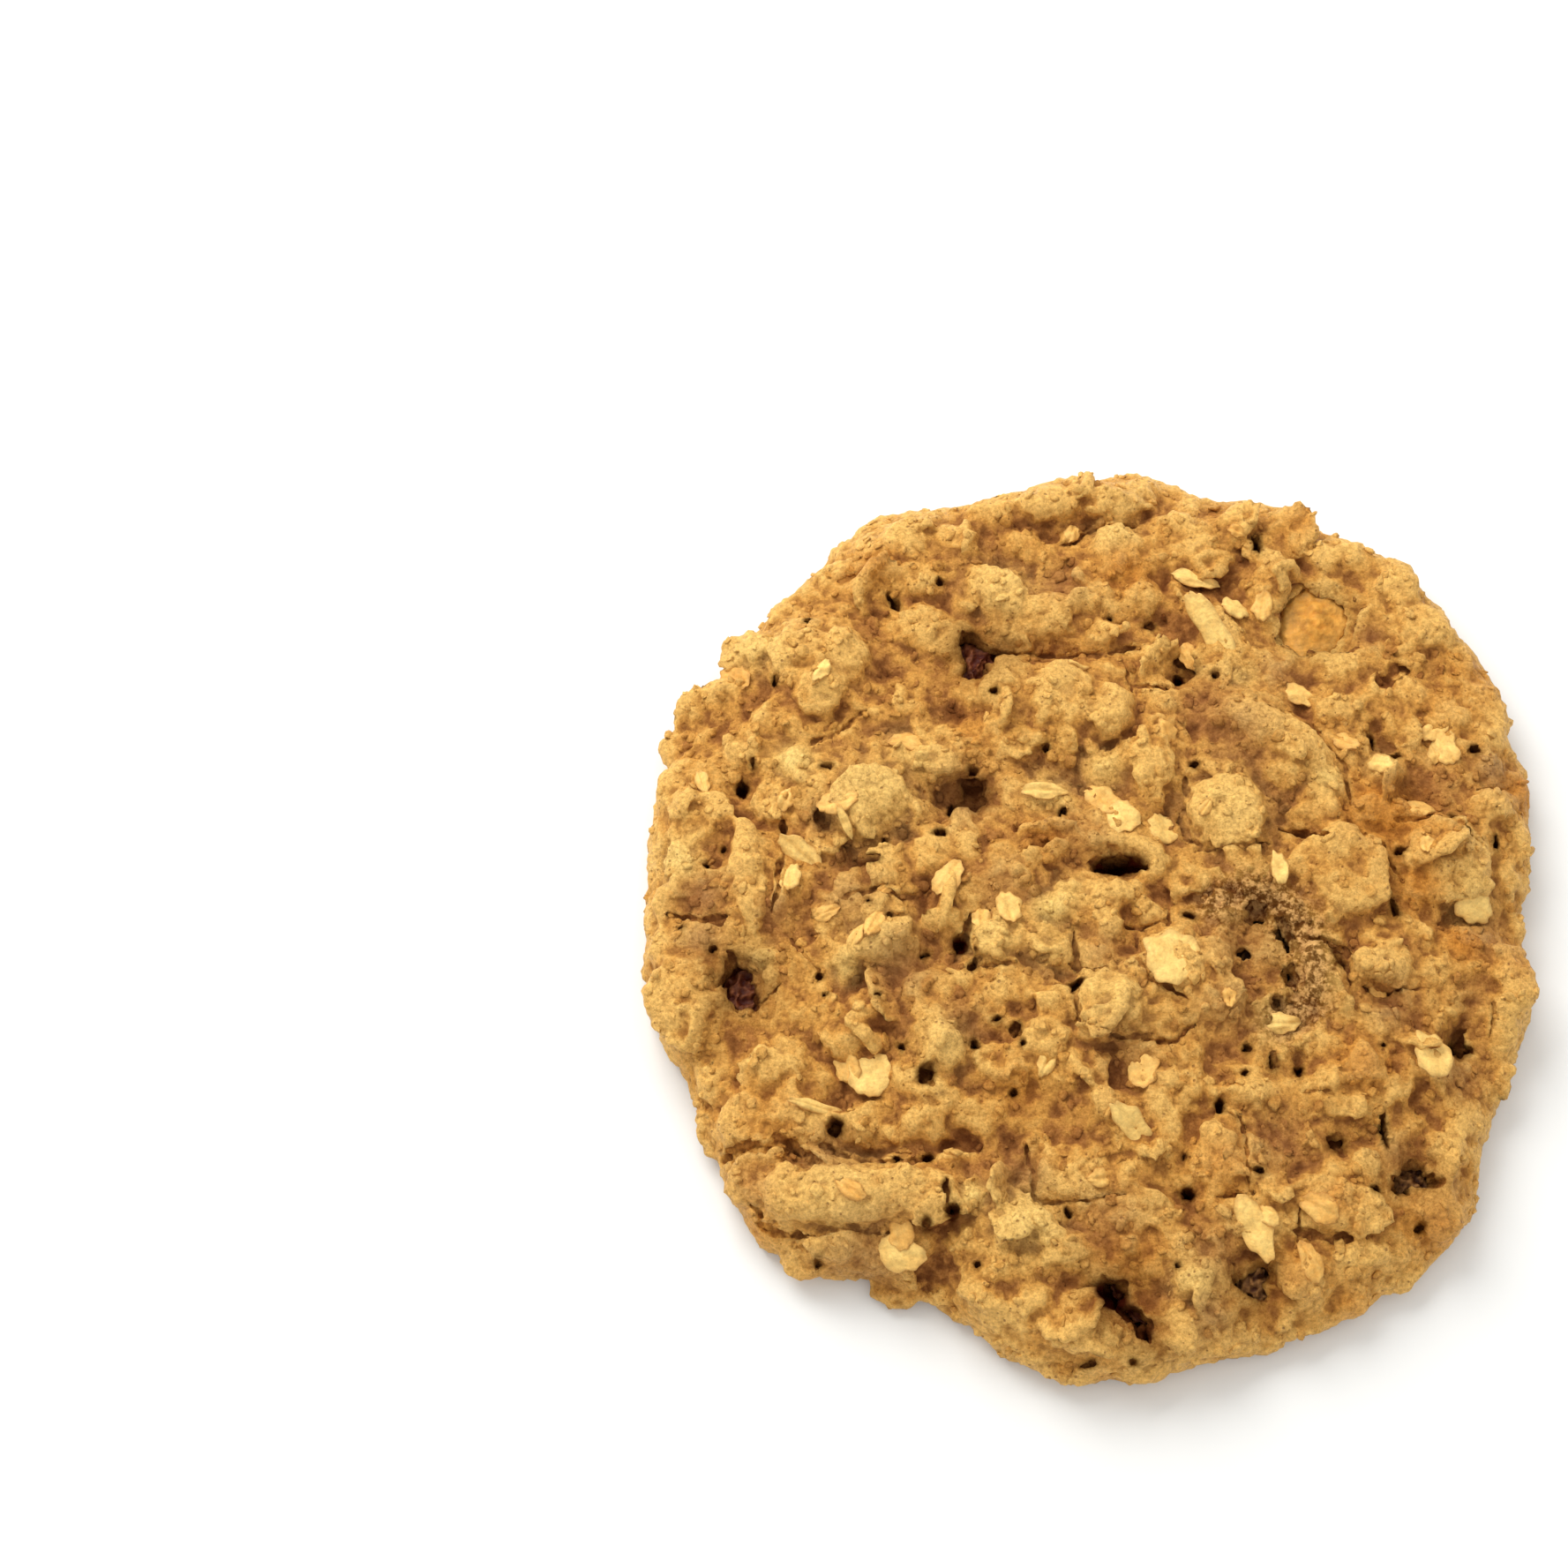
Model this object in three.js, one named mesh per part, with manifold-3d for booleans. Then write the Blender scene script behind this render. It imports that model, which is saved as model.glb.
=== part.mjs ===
// An oatmeal raisin cookie: one baked round of oaty dough with raisins that peep out of its top.
// Millimetres, +Z up. The cookie lies on its flat underside at Z = 0, with the middle of its
// box at X = 0, Y = 0. Angles are in degrees, counter-clockwise from +X, seen from above.

import * as THREE from 'three';
import { mergeVertices } from 'three/addons/utils/BufferGeometryUtils.js';
import { ImprovedNoise } from 'three/addons/math/ImprovedNoise.js';
import Module from 'manifold-3d';

const cookie = {
  meanRadius: 46.7,
  centreHeight: 8.3, // smooth dough level in the middle, under the oats
  shoulderHeight: 4.6, // smooth dough level where the top turns down into the side
  shoulderWidth: 3.2,
  bellyHeight: 1.9, // where the side stands out furthest
  undercut: 1.6, // how far the flat underside stands in from the belly
  leastSide: 0.8, // the top keeps at least this much above the belly
};

// The spread dough is not a true circle: slow waves round the edge, then single lumps and notches.
const outlineWaves = [
  { lobes: 1, swell: 0.5, crest: 0 },
  { lobes: 2, swell: 1.4, crest: 78 },
  { lobes: 3, swell: 1.05, crest: 57 },
];
const edgeLumps = [
  { at: 15, wide: 4, out: 1.0 },
  { at: 39, wide: 13, out: 1.3 },
  { at: 48, wide: 4, out: 0.8 },
  { at: 57, wide: 4, out: -1.1 },
  { at: 73, wide: 5, out: -2.0 },
  { at: 99, wide: 10, out: -0.9 },
  { at: 118, wide: 8, out: 2.3 },
  { at: 156, wide: 8, out: -0.7 },
  { at: 180, wide: 8, out: -1.2 },
  { at: 207, wide: 10, out: -0.8 },
  { at: 225, wide: 8, out: 2.4 },
  { at: 234, wide: 3, out: 0.9 },
  { at: 247, wide: 7, out: -4.1 },
  { at: 267, wide: 6, out: 0.8 },
  { at: 283, wide: 3, out: -0.8 },
  { at: 291, wide: 3, out: -1.0 },
  { at: 314, wide: 8, out: 1.8 },
  { at: 331, wide: 10, out: -1.2 },
  { at: 357, wide: 6, out: -1.8 },
];

// The clumps of oats that stand proud of the dough: centre, length and width, turn of the
// length, and rise above the dough.
const clumps = [
  { name: 'flat-topped clump', at: [-5, 19], size: [18, 11], turn: -8, rise: 2.5 },
  { name: 'back rim ridge', at: [-2.5, 43], size: [22, 5.5], turn: 4, rise: 2.4 },
  { name: 'back knob', at: [5.5, 36.5], size: [6.5, 7], turn: 0, rise: 2.1 },
  { name: 'back shelf', at: [-4, 30.5], size: [17, 7], turn: -6, rise: 1.9 },
  { name: 'back left rim', at: [-19, 38.5], size: [13, 6], turn: 35, rise: 1.9 },
  { name: 'back left clump', at: [-27.5, 24.5], size: [12, 12], turn: 20, rise: 2.5 },
  { name: 'left dome', at: [-25.5, 9], size: [9.5, 8.5], turn: 0, rise: 2.8 },
  { name: 'left ridge', at: [-34.5, 0], size: [14, 5], turn: 84, rise: 2.4 },
  { name: 'left rim clump', at: [-40.5, -12], size: [8, 10], turn: 10, rise: 2.0 },
  { name: 'crosswise ridge', at: [-22, -7], size: [11, 5], turn: 8, rise: 2.4 },
  { name: 'left middle clump', at: [-16.5, -16.5], size: [6.5, 9.5], turn: 20, rise: 2.2 },
  { name: 'left slope flake', at: [-31.5, -17.5], size: [7, 9], turn: 60, rise: 1.4 },
  { name: 'front left rim', at: [-34, -26], size: [6, 9], turn: 55, rise: 1.6 },
  { name: 'long front ridge', at: [-21, -31.5], size: [19, 6.5], turn: -4, rise: 2.9 },
  { name: 'front clump', at: [-7, -37], size: [10, 6.5], turn: -12, rise: 2.0 },
  { name: 'front rim clump', at: [-2.5, -43.5], size: [9.5, 5.5], turn: 0, rise: 1.6 },
  { name: 'middle left knob', at: [-9, -6.5], size: [6, 6], turn: 0, rise: 2.0 },
  { name: 'middle clump', at: [1, -12], size: [10, 7.5], turn: 15, rise: 2.5 },
  { name: 'middle flake', at: [7.5, -8], size: [6.5, 6.5], turn: 40, rise: 2.8 },
  { name: 'middle ridge', at: [2, -24.5], size: [9, 5], turn: -38, rise: 1.9 },
  { name: 'front middle clump', at: [11.5, -26.5], size: [5.5, 8], turn: 10, rise: 1.9 },
  { name: 'standing flake', at: [13.5, 27], size: [9, 5], turn: -62, rise: 2.5 },
  { name: 'curved clump', at: [18, 15.5], size: [13, 7], turn: -50, rise: 2.6 },
  { name: 'right of middle flake', at: [14.5, 7], size: [9, 7.5], turn: -10, rise: 2.1 },
  { name: 'right middle dome', at: [24.5, 2], size: [9, 8.5], turn: 0, rise: 2.2 },
  { name: 'right dome', at: [34.5, 3], size: [10, 10], turn: -30, rise: 2.4 },
  { name: 'right back rim', at: [33, 30], size: [8, 12], turn: 30, rise: 1.9 },
  { name: 'right back slope', at: [36, 19], size: [8, 10], turn: 0, rise: 1.2 },
  { name: 'right oval', at: [29, -8], size: [7.5, 3.8], turn: -8, rise: 1.8 },
  { name: 'right rim clump', at: [40.5, -12], size: [5.5, 11], turn: -8, rise: 1.8 },
  { name: 'right lower clump', at: [24, -20.5], size: [9, 7], turn: 10, rise: 2.1 },
  { name: 'curled flake clump', at: [31.5, -18.5], size: [5.5, 7], turn: 20, rise: 2.0 },
  { name: 'front right clump', at: [24, -31], size: [9.5, 7.5], turn: -20, rise: 2.1 },
  { name: 'front right ridge', at: [14.5, -34], size: [5, 10], turn: 25, rise: 1.9 },
];

// Holes and hollows between the clumps, down into the dough.
const hollows = [
  { name: 'deep slot in the middle', at: [2, 1.5], size: [5.4, 2.2], turn: 0, depth: 3.4 },
  { name: 'left hole', at: [-35, 11], size: [2.2, 2.8], turn: 0, depth: 3.0 },
  { name: 'back right hole', at: [9, 22.5], size: [3, 2.4], turn: 0, depth: 3.0 },
  { name: 'left of middle hollow', at: [-13.5, 9], size: [5.5, 5], turn: 0, depth: 2.6 },
  { name: 'middle left hole', at: [-13.5, -6.5], size: [2.4, 2.6], turn: 0, depth: 2.4 },
  { name: 'slit under the left dome', at: [-22.5, 2], size: [4, 2], turn: 0, depth: 2.0 },
  { name: 'slit by the middle clump', at: [-3, -9.5], size: [2.2, 2], turn: 30, depth: 2.0 },
  { name: 'front hole', at: [7.5, -31.5], size: [2.2, 2.2], turn: 0, depth: 2.4 },
  { name: 'front right hole', at: [19, -19], size: [2, 2.2], turn: 0, depth: 2.2 },
  { name: 'right front crease', at: [23, -26], size: [8, 2.6], turn: 0, depth: 1.6 },
  { name: 'right rim hole', at: [35, -16], size: [3.6, 2.8], turn: 30, depth: 2.4 },
  { name: 'right back hollow', at: [29, 15.5], size: [2.6, 3.6], turn: 0, depth: 1.6 },
  { name: 'back slit', at: [17.5, 37], size: [2, 4.4], turn: 0, depth: 2.0 },
  { name: 'back crevice', at: [-4, 25.2], size: [16, 2.4], turn: -3, depth: 1.6 },
  { name: 'long ridge crease', at: [-19, -26.6], size: [17, 2.6], turn: 2, depth: 1.5 },
  { name: 'front hollow', at: [-14, -34], size: [3, 2.6], turn: 0, depth: 1.8 },
];

// The raisins that show: centre, length, width and height, turn of the length, how far the
// raisin's top lies under the dough level, and the length and width of the opening above it.
const raisins = [
  {
    name: 'raisin_left', at: [-35, -10], turn: 80,
    size: [9, 6.5, 4.2], cover: 1.4, opening: [4.8, 3.6],
  },
  {
    name: 'raisin_back', at: [-11.5, 25], turn: 70,
    size: [10.5, 6.5, 5], cover: 0.9, opening: [6.2, 3.6],
  },
  {
    name: 'raisin_near', at: [2.8, -40.2], turn: -60,
    size: [8.5, 5.4, 3.2], cover: 1.0, opening: [6, 3.4],
  },
  {
    name: 'raisin_near_right', at: [13.6, -38.3], turn: -50,
    size: [8, 5.4, 3.2], cover: 0.7, opening: [5.4, 4],
  },
  {
    name: 'raisin_right', at: [29.5, -29], turn: 60,
    size: [9, 6.5, 3.8], cover: 1.0, opening: [5.6, 3.6],
  },
  {
    name: 'raisin_amber', at: [23.5, 29], turn: 70,
    size: [11, 8.5, 4.8], cover: -0.6, opening: [10, 8],
  },
  {
    name: 'raisin_middle', at: [16, -7.5], turn: 75,
    size: [12, 8, 5.6], cover: 0.0, opening: [10.5, 6.6],
  },
];
const raisinWrinkle = { depth: 0.13, folds: 5, warp: 0.9 };
const pocket = {
  clearance: 0.44, // all round the raisin, a little more than the facets of both take up
  mouthAbove: 5, // the cut for the mouth runs this far past the dough level
  mouthTaper: [0.8, 1.12], // share of the opening's size at the raisin's middle and at the top
  raggedness: 0.16,
};

// Loose oats and crumbs fused all over the top between the named clumps.
const oats = {
  seed: 41,
  tries: 700,
  length: [4.2, 8.6],
  slimness: [0.55, 0.9],
  rise: [0.7, 1.9],
  tilt: 0.7,
  edgeMargin: 2.2,
  spacing: { fromClumps: 0.85, fromOats: 0.7 }, // in shares of the neighbour's own half size
};

const dough = {
  crumbSize: 3.1,
  crumbRise: 0.42,
  swellSize: 13,
  swellRise: 0.5,
  sideRoughness: 0.6,
  blend: 4.5, // the higher, the crisper the step where a clump leaves the dough
  noiseGain: 1.6, // brings the noise up to a range of about -1 to 1
};

// A clump's section: a flat pillow with steep sides.
const pillow = { flatness: 4, steepness: 0.45 };


const mesh = {
  rings: 34, // from the middle out to the belly
  shoulderRings: 3,
  undersideRings: 2,
  raisinDetail: 3,
  pocketDetail: 2,
  openingSides: 16,
};

const { degToRad, lerp, seededRandom } = THREE.MathUtils;
const noise = new ImprovedNoise();
const noiseLayer = { swell: 0.3, side: 3.1, crumb: 7.7 };

function pick([low, high]) {
  return lerp(low, high, seededRandom());
}

// Noise in the range -1 to 1 whose patches are about as large as patchSize.
function patchNoise(x, y, patchSize, layer) {
  return noise.noise(x / patchSize, y / patchSize, layer) * dough.noiseGain;
}

function outlineRadius(angle) {
  let radius = cookie.meanRadius;
  for (const wave of outlineWaves) {
    radius += wave.swell * Math.cos(wave.lobes * (angle - degToRad(wave.crest)));
  }
  for (const lump of edgeLumps) {
    const turned = angle - degToRad(lump.at);
    const away = Math.atan2(Math.sin(turned), Math.cos(turned)) / degToRad(lump.wide);
    radius += lump.out * Math.exp(-away * away);
  }
  return radius;
}

// A point in the own axes of an oval feature, scaled so that the oval's edge lies at 1.
function insideOval(feature, x, y) {
  const turn = degToRad(feature.turn);
  const dx = x - feature.at[0];
  const dy = y - feature.at[1];
  const along = (dx * Math.cos(turn) + dy * Math.sin(turn)) / (feature.size[0] / 2);
  const across = (dy * Math.cos(turn) - dx * Math.sin(turn)) / (feature.size[1] / 2);
  return { along, across, reach: Math.hypot(along, across) };
}

// A clump is a low pillow; an oat is the same, tilted.
function pillowHeight(feature, x, y) {
  const { along, across, reach } = insideOval(feature, x, y);
  if (reach >= 1) {
    return 0;
  }
  const section = Math.pow(1 - Math.pow(reach, pillow.flatness), pillow.steepness);
  const tilt = feature.tilt ?? [0, 0];
  return section * (feature.rise + tilt[0] * along + tilt[1] * across);
}

function hollowDepth(feature, x, y) {
  const { reach } = insideOval(feature, x, y);
  return feature.depth * Math.exp(-Math.pow(reach, 4) * 0.7);
}

// Oats are scattered by a seeded rule, and left out where a clump, hollow or raisin already lies.
function scatterOats() {
  const placed = [];
  const openings = raisins.map((raisin) => ({ ...raisin, size: raisin.opening }));
  const named = [...clumps, ...hollows, ...openings];
  seededRandom(oats.seed);
  for (let i = 0; i < oats.tries; i += 1) {
    const angle = pick([0, 2 * Math.PI]);
    const distance = Math.sqrt(seededRandom()) * (outlineRadius(angle) - oats.edgeMargin);
    const length = pick(oats.length);
    const oat = {
      at: [distance * Math.cos(angle), distance * Math.sin(angle)],
      size: [length, length * pick(oats.slimness)],
      turn: pick([0, 180]),
      rise: pick(oats.rise),
      tilt: [pick([-oats.tilt, oats.tilt]), pick([-oats.tilt, oats.tilt])],
    };
    const near = (share) => (other) => insideOval(other, ...oat.at).reach < share;
    const crowded = named.some(near(oats.spacing.fromClumps)) || placed.some(near(oats.spacing.fromOats));
    if (!crowded) {
      placed.push(oat);
    }
  }
  return placed;
}

const scatteredOats = scatterOats();

// Height of the oaty surface over the smooth dough level.
function relief(x, y) {
  const swell = dough.swellRise * patchNoise(x, y, dough.swellSize, noiseLayer.swell);
  const crumb = dough.crumbRise * patchNoise(x, y, dough.crumbSize, noiseLayer.crumb);
  let sum = 1;
  for (const feature of [...clumps, ...scatteredOats]) {
    const height = pillowHeight(feature, x, y);
    sum += height > 0 ? Math.exp(dough.blend * height) - 1 : 0;
  }
  let hollow = 0;
  for (const feature of hollows) {
    hollow = Math.max(hollow, hollowDepth(feature, x, y));
  }
  return Math.log(sum) / dough.blend + swell + crumb - hollow;
}

function doughLevel(x, y) {
  const share = Math.min(1, Math.hypot(x, y) / outlineRadius(Math.atan2(y, x)));
  return lerp(cookie.centreHeight, cookie.shoulderHeight, share * share);
}

// One ring of points on the top: rings step evenly out to the shoulder, then round it down
// to the belly.
function topRing(ring) {
  const points = [];
  const flatRings = mesh.rings - mesh.shoulderRings;
  const count = Math.max(1, 6 * ring);
  const bend = Math.max(0, (ring - flatRings) / mesh.shoulderRings) * Math.PI / 2;
  for (let k = 0; k < count; k += 1) {
    const angle = 2 * Math.PI * k / count;
    const outer = outlineRadius(angle);
    const flatReach = Math.min(1, ring / flatRings) * (outer - cookie.shoulderWidth);
    const smoothRadius = flatReach + cookie.shoulderWidth * Math.sin(bend);
    const out = new THREE.Vector2(Math.cos(angle), Math.sin(angle));
    const spot = out.clone().multiplyScalar(smoothRadius);
    const roughness = patchNoise(spot.x, spot.y, dough.crumbSize, noiseLayer.side);
    const radius = smoothRadius + dough.sideRoughness * Math.sin(bend) * roughness;
    const x = radius * out.x;
    const y = radius * out.y;
    const top = Math.max(doughLevel(x, y) + relief(x, y), cookie.bellyHeight + cookie.leastSide);
    const z = lerp(cookie.bellyHeight, top, Math.cos(bend));
    points.push(new THREE.Vector3(x, y, z));
  }
  return points;
}

// The belly ring drawn in and down to the flat underside.
function undersideRing(belly, step) {
  const bend = step / mesh.undersideRings * Math.PI / 2;
  return belly.map((point) => {
    const radius = Math.hypot(point.x, point.y);
    const shrink = (radius - cookie.undercut * (1 - Math.cos(bend))) / radius;
    const z = step === mesh.undersideRings ? 0 : point.z * (1 - Math.sin(bend));
    return new THREE.Vector3(point.x * shrink, point.y * shrink, z);
  });
}

function bodyGeometry() {
  const points = [];
  const faces = [];
  const starts = [];
  const addRing = (ring) => {
    starts.push(points.length);
    points.push(...ring);
  };

  for (let ring = 0; ring <= mesh.rings; ring += 1) {
    addRing(topRing(ring));
  }
  for (let ring = 0; ring < mesh.rings; ring += 1) {
    const inner = (k) => starts[ring] + (ring === 0 ? 0 : k % (6 * ring));
    const outer = (k) => starts[ring + 1] + (k % (6 * (ring + 1)));
    for (let sector = 0; sector < 6; sector += 1) {
      for (let j = 0; j <= ring; j += 1) {
        const innerAt = sector * ring + j;
        const outerAt = sector * (ring + 1) + j;
        faces.push(inner(innerAt), outer(outerAt), outer(outerAt + 1));
        if (j < ring) {
          faces.push(inner(innerAt), outer(outerAt + 1), inner(innerAt + 1));
        }
      }
    }
  }

  const round = 6 * mesh.rings;
  const belly = points.slice(starts[mesh.rings]);
  for (let step = 1; step <= mesh.undersideRings; step += 1) {
    const upper = starts[starts.length - 1];
    addRing(undersideRing(belly, step));
    const lower = starts[starts.length - 1];
    for (let k = 0; k < round; k += 1) {
      const next = (k + 1) % round;
      faces.push(upper + k, lower + k, lower + next);
      faces.push(upper + k, lower + next, upper + next);
    }
  }

  const foot = starts[starts.length - 1];
  const footOutline = points.slice(foot).map((point) => new THREE.Vector2(point.x, point.y));
  for (const [a, b, c] of THREE.ShapeUtils.triangulateShape(footOutline, [])) {
    faces.push(foot + a, foot + c, foot + b);
  }

  const geometry = new THREE.BufferGeometry().setFromPoints(points);
  geometry.setIndex(faces);
  return geometry;
}

// The raisin's middle: its top lies the stated cover under the dough level.
function raisinMiddle(raisin) {
  const [x, y] = raisin.at;
  return new THREE.Vector3(x, y, doughLevel(x, y) - raisin.cover - raisin.size[2] / 2);
}

function mergedBall(detail) {
  const ball = new THREE.IcosahedronGeometry(1, detail);
  ball.deleteAttribute('normal');
  ball.deleteAttribute('uv');
  return mergeVertices(ball);
}

// A dried grape: an ovoid whose skin has shrunk into lengthwise folds.
function raisinGeometry(raisin, index) {
  const geometry = mergedBall(mesh.raisinDetail);
  const position = geometry.attributes.position;
  const point = new THREE.Vector3();
  for (let i = 0; i < position.count; i += 1) {
    point.fromBufferAttribute(position, i);
    const warp = raisinWrinkle.warp * patchNoise(point.x, point.y, 1, index);
    const around = Math.atan2(point.z, point.y) + warp;
    const fold = Math.abs(Math.sin(raisinWrinkle.folds * around / 2));
    const taper = Math.sqrt(Math.max(0, 1 - point.x * point.x));
    const shrink = 1 - raisinWrinkle.depth * (1 - fold) * taper;
    position.setXYZ(i, point.x, point.y * shrink, point.z * shrink);
  }
  geometry.scale(...raisin.size.map((side) => side / 2));
  geometry.rotateZ(degToRad(raisin.turn));
  geometry.translate(...raisinMiddle(raisin));
  return geometry;
}

function pocketGeometry(raisin) {
  const geometry = mergedBall(mesh.pocketDetail);
  geometry.scale(...raisin.size.map((side) => side / 2 + pocket.clearance));
  geometry.rotateZ(degToRad(raisin.turn));
  geometry.translate(...raisinMiddle(raisin));
  return geometry;
}

// The ragged mouth over a raisin, from its middle up past the clumps.
function openingGeometry(raisin) {
  const middle = raisinMiddle(raisin);
  const height = raisin.size[2] / 2 + raisin.cover + pocket.mouthAbove;
  const [low, high] = pocket.mouthTaper;
  const geometry = new THREE.CylinderGeometry(high, low, height, mesh.openingSides, 1);
  geometry.deleteAttribute('normal');
  geometry.deleteAttribute('uv');
  geometry.rotateX(Math.PI / 2);
  const merged = mergeVertices(geometry);
  const position = merged.attributes.position;
  for (let i = 0; i < position.count; i += 1) {
    const uneven = patchNoise(position.getX(i), position.getY(i), 1, middle.x);
    const ragged = 1 + pocket.raggedness * uneven;
    position.setXYZ(i, position.getX(i) * ragged, position.getY(i) * ragged, position.getZ(i));
  }
  merged.scale(raisin.opening[0] / 2, raisin.opening[1] / 2, 1);
  merged.rotateZ(degToRad(raisin.turn));
  merged.translate(middle.x, middle.y, middle.z + height / 2);
  return merged;
}

const wasm = await Module();
wasm.setup();

function toSolid(geometry) {
  return new wasm.Manifold(new wasm.Mesh({
    numProp: 3,
    vertProperties: new Float32Array(geometry.attributes.position.array),
    triVerts: new Uint32Array(geometry.index.array),
  }));
}

function toGeometry(solid) {
  const { vertProperties, triVerts } = solid.getMesh();
  const geometry = new THREE.BufferGeometry();
  geometry.setAttribute('position', new THREE.BufferAttribute(vertProperties, 3));
  geometry.setIndex(new THREE.BufferAttribute(triVerts, 1));
  return geometry;
}

function namedMesh(name, geometry, look) {
  geometry.computeVertexNormals();
  const part = new THREE.Mesh(geometry, new THREE.MeshStandardMaterial(look));
  part.name = name;
  return part;
}

function cookieMesh() {
  let solid = toSolid(bodyGeometry());
  for (const raisin of raisins) {
    solid = solid.subtract(toSolid(pocketGeometry(raisin)));
    solid = solid.subtract(toSolid(openingGeometry(raisin)));
  }
  return namedMesh('cookie', toGeometry(solid), { color: 0xbe8a47, roughness: 0.82, metalness: 0 });
}

function raisinMesh(raisin, index) {
  const color = raisin.name === 'raisin_amber' ? 0xb0702c : 0x47221a;
  return namedMesh(raisin.name, raisinGeometry(raisin, index), { color, roughness: 0.45, metalness: 0 });
}

const part = new THREE.Group();
part.add(cookieMesh(), ...raisins.map(raisinMesh));
const middle = new THREE.Box3().setFromObject(part).getCenter(new THREE.Vector3());
part.position.set(-middle.x, -middle.y, 0);

export default part;
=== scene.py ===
import math
import random

import bpy
import numpy as np
from mathutils import Euler, Matrix, Vector, noise
from mathutils.bvhtree import BVHTree


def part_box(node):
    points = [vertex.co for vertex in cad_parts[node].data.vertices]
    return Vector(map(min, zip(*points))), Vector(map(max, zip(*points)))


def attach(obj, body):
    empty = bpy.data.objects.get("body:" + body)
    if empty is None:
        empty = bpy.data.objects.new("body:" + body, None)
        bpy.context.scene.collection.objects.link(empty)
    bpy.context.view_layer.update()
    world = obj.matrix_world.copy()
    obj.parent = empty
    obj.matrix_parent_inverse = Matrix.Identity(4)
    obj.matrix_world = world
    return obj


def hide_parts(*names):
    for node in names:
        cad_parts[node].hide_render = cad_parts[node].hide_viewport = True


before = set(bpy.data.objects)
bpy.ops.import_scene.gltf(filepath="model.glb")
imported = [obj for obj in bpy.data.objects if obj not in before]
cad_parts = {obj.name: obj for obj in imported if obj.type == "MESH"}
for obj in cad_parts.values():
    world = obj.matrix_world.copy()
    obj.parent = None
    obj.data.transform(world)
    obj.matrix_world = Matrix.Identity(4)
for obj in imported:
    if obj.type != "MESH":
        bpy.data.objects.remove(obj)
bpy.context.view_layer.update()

mm = 0.001               # Blender works in metres, a baker in millimetres


def deselectAll():
    if bpy.context.object and bpy.context.object.mode != "OBJECT":
        bpy.ops.object.mode_set(mode="OBJECT")
    bpy.ops.object.select_all(action="DESELECT")


def pick(piece, *others):
    deselectAll()
    for each in (*others, piece):
        each.select_set(True)
    bpy.context.view_layer.objects.active = piece


def applyModifier(piece, kind, **values):
    pick(piece)
    bpy.ops.object.modifier_add(type=kind)
    modifier = piece.modifiers[-1]
    for key, value in values.items():
        setattr(modifier, key, value)
    bpy.ops.object.modifier_apply(modifier=modifier.name)


def copyPiece(source, name):
    piece = bpy.data.objects.new(name, source.data.copy())
    bpy.context.scene.collection.objects.link(piece)
    return piece


def copyNode(node, name):                # a node's faces are loose, so its copy is merged
    piece = copyPiece(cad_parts[node], name)
    pick(piece)
    bpy.ops.object.mode_set(mode="EDIT")
    bpy.ops.mesh.select_all(action="SELECT")
    bpy.ops.mesh.remove_doubles(threshold=0.002 * mm)
    bpy.ops.mesh.normals_make_consistent(inside=False)
    bpy.ops.object.mode_set(mode="OBJECT")
    return piece


def joinInto(target, others):
    pick(target, *others)
    bpy.ops.object.join()


def shadeSmooth(piece):
    pick(piece)
    bpy.ops.object.shade_smooth()


def fuse(piece, voxel, softening=0):     # one skin over all that was joined, then rounds of smoothing
    applyModifier(piece, "REMESH", mode="VOXEL", voxel_size=voxel)
    if softening:
        applyModifier(piece, "SMOOTH", factor=0.5, iterations=softening)


def pushOut(piece, name, size, strength, middle=0.5, **values):
    texture = bpy.data.textures.new(name, "CLOUDS")
    texture.noise_scale = size
    for key, value in values.items():
        setattr(texture, key, value)
    applyModifier(piece, "DISPLACE", texture=texture, strength=strength, mid_level=middle,
                  texture_coords="LOCAL", direction="NORMAL")


def swell(piece, amount):
    applyModifier(piece, "DISPLACE", strength=amount, mid_level=0, direction="NORMAL")


def readNumbers(items, name, width, kind=np.float32):
    flat = np.empty(len(items) * width, kind)
    items.foreach_get(name, flat)
    return flat.reshape(-1, width)


def points(piece):
    return readNumbers(piece.data.vertices, "co", 3)


def setPoints(piece, places):
    piece.data.vertices.foreach_set("co", np.ascontiguousarray(places, np.float32).ravel())
    piece.data.update()


def keepAttribute(piece, name, values):
    layer = piece.data.attributes.new(name, "FLOAT", "POINT")
    layer.data.foreach_set("value", np.ascontiguousarray(values, np.float32))


def spread(values, pairs, times):        # mean with the neighbours, repeated
    count = len(values)
    a, b = pairs[:, 0], pairs[:, 1]
    weight = np.bincount(a, minlength=count) + np.bincount(b, minlength=count) + 1.0
    values = values.astype(np.float64)
    for _ in range(times):
        total = values.copy()
        for axis in range(values.shape[1]):
            total[:, axis] += np.bincount(a, values[b, axis], count)
            total[:, axis] += np.bincount(b, values[a, axis], count)
        values = total / weight[:, None]
    return values


def keepCavity(piece, name, rounds):     # how far each point lies below its neighbourhood, in mm
    places = points(piece)
    out = readNumbers(piece.data.vertex_normals, "vector", 3)
    pairs = readNumbers(piece.data.edges, "vertices", 2, np.int64)
    keepAttribute(piece, name, ((spread(places, pairs, rounds) - places) * out).sum(1) / mm)


def surfaceFinder(piece):
    piece.data.calc_loop_triangles()
    corners = [v.co for v in piece.data.vertices]
    faces = [t.vertices for t in piece.data.loop_triangles]
    return BVHTree.FromPolygons(corners, faces)


def topPoint(finder, x, y):              # point, normal and face under x and y in millimetres
    return finder.ray_cast(Vector((x * mm, y * mm, 0.05)), Vector((0, 0, -1)))[:3]


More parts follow.
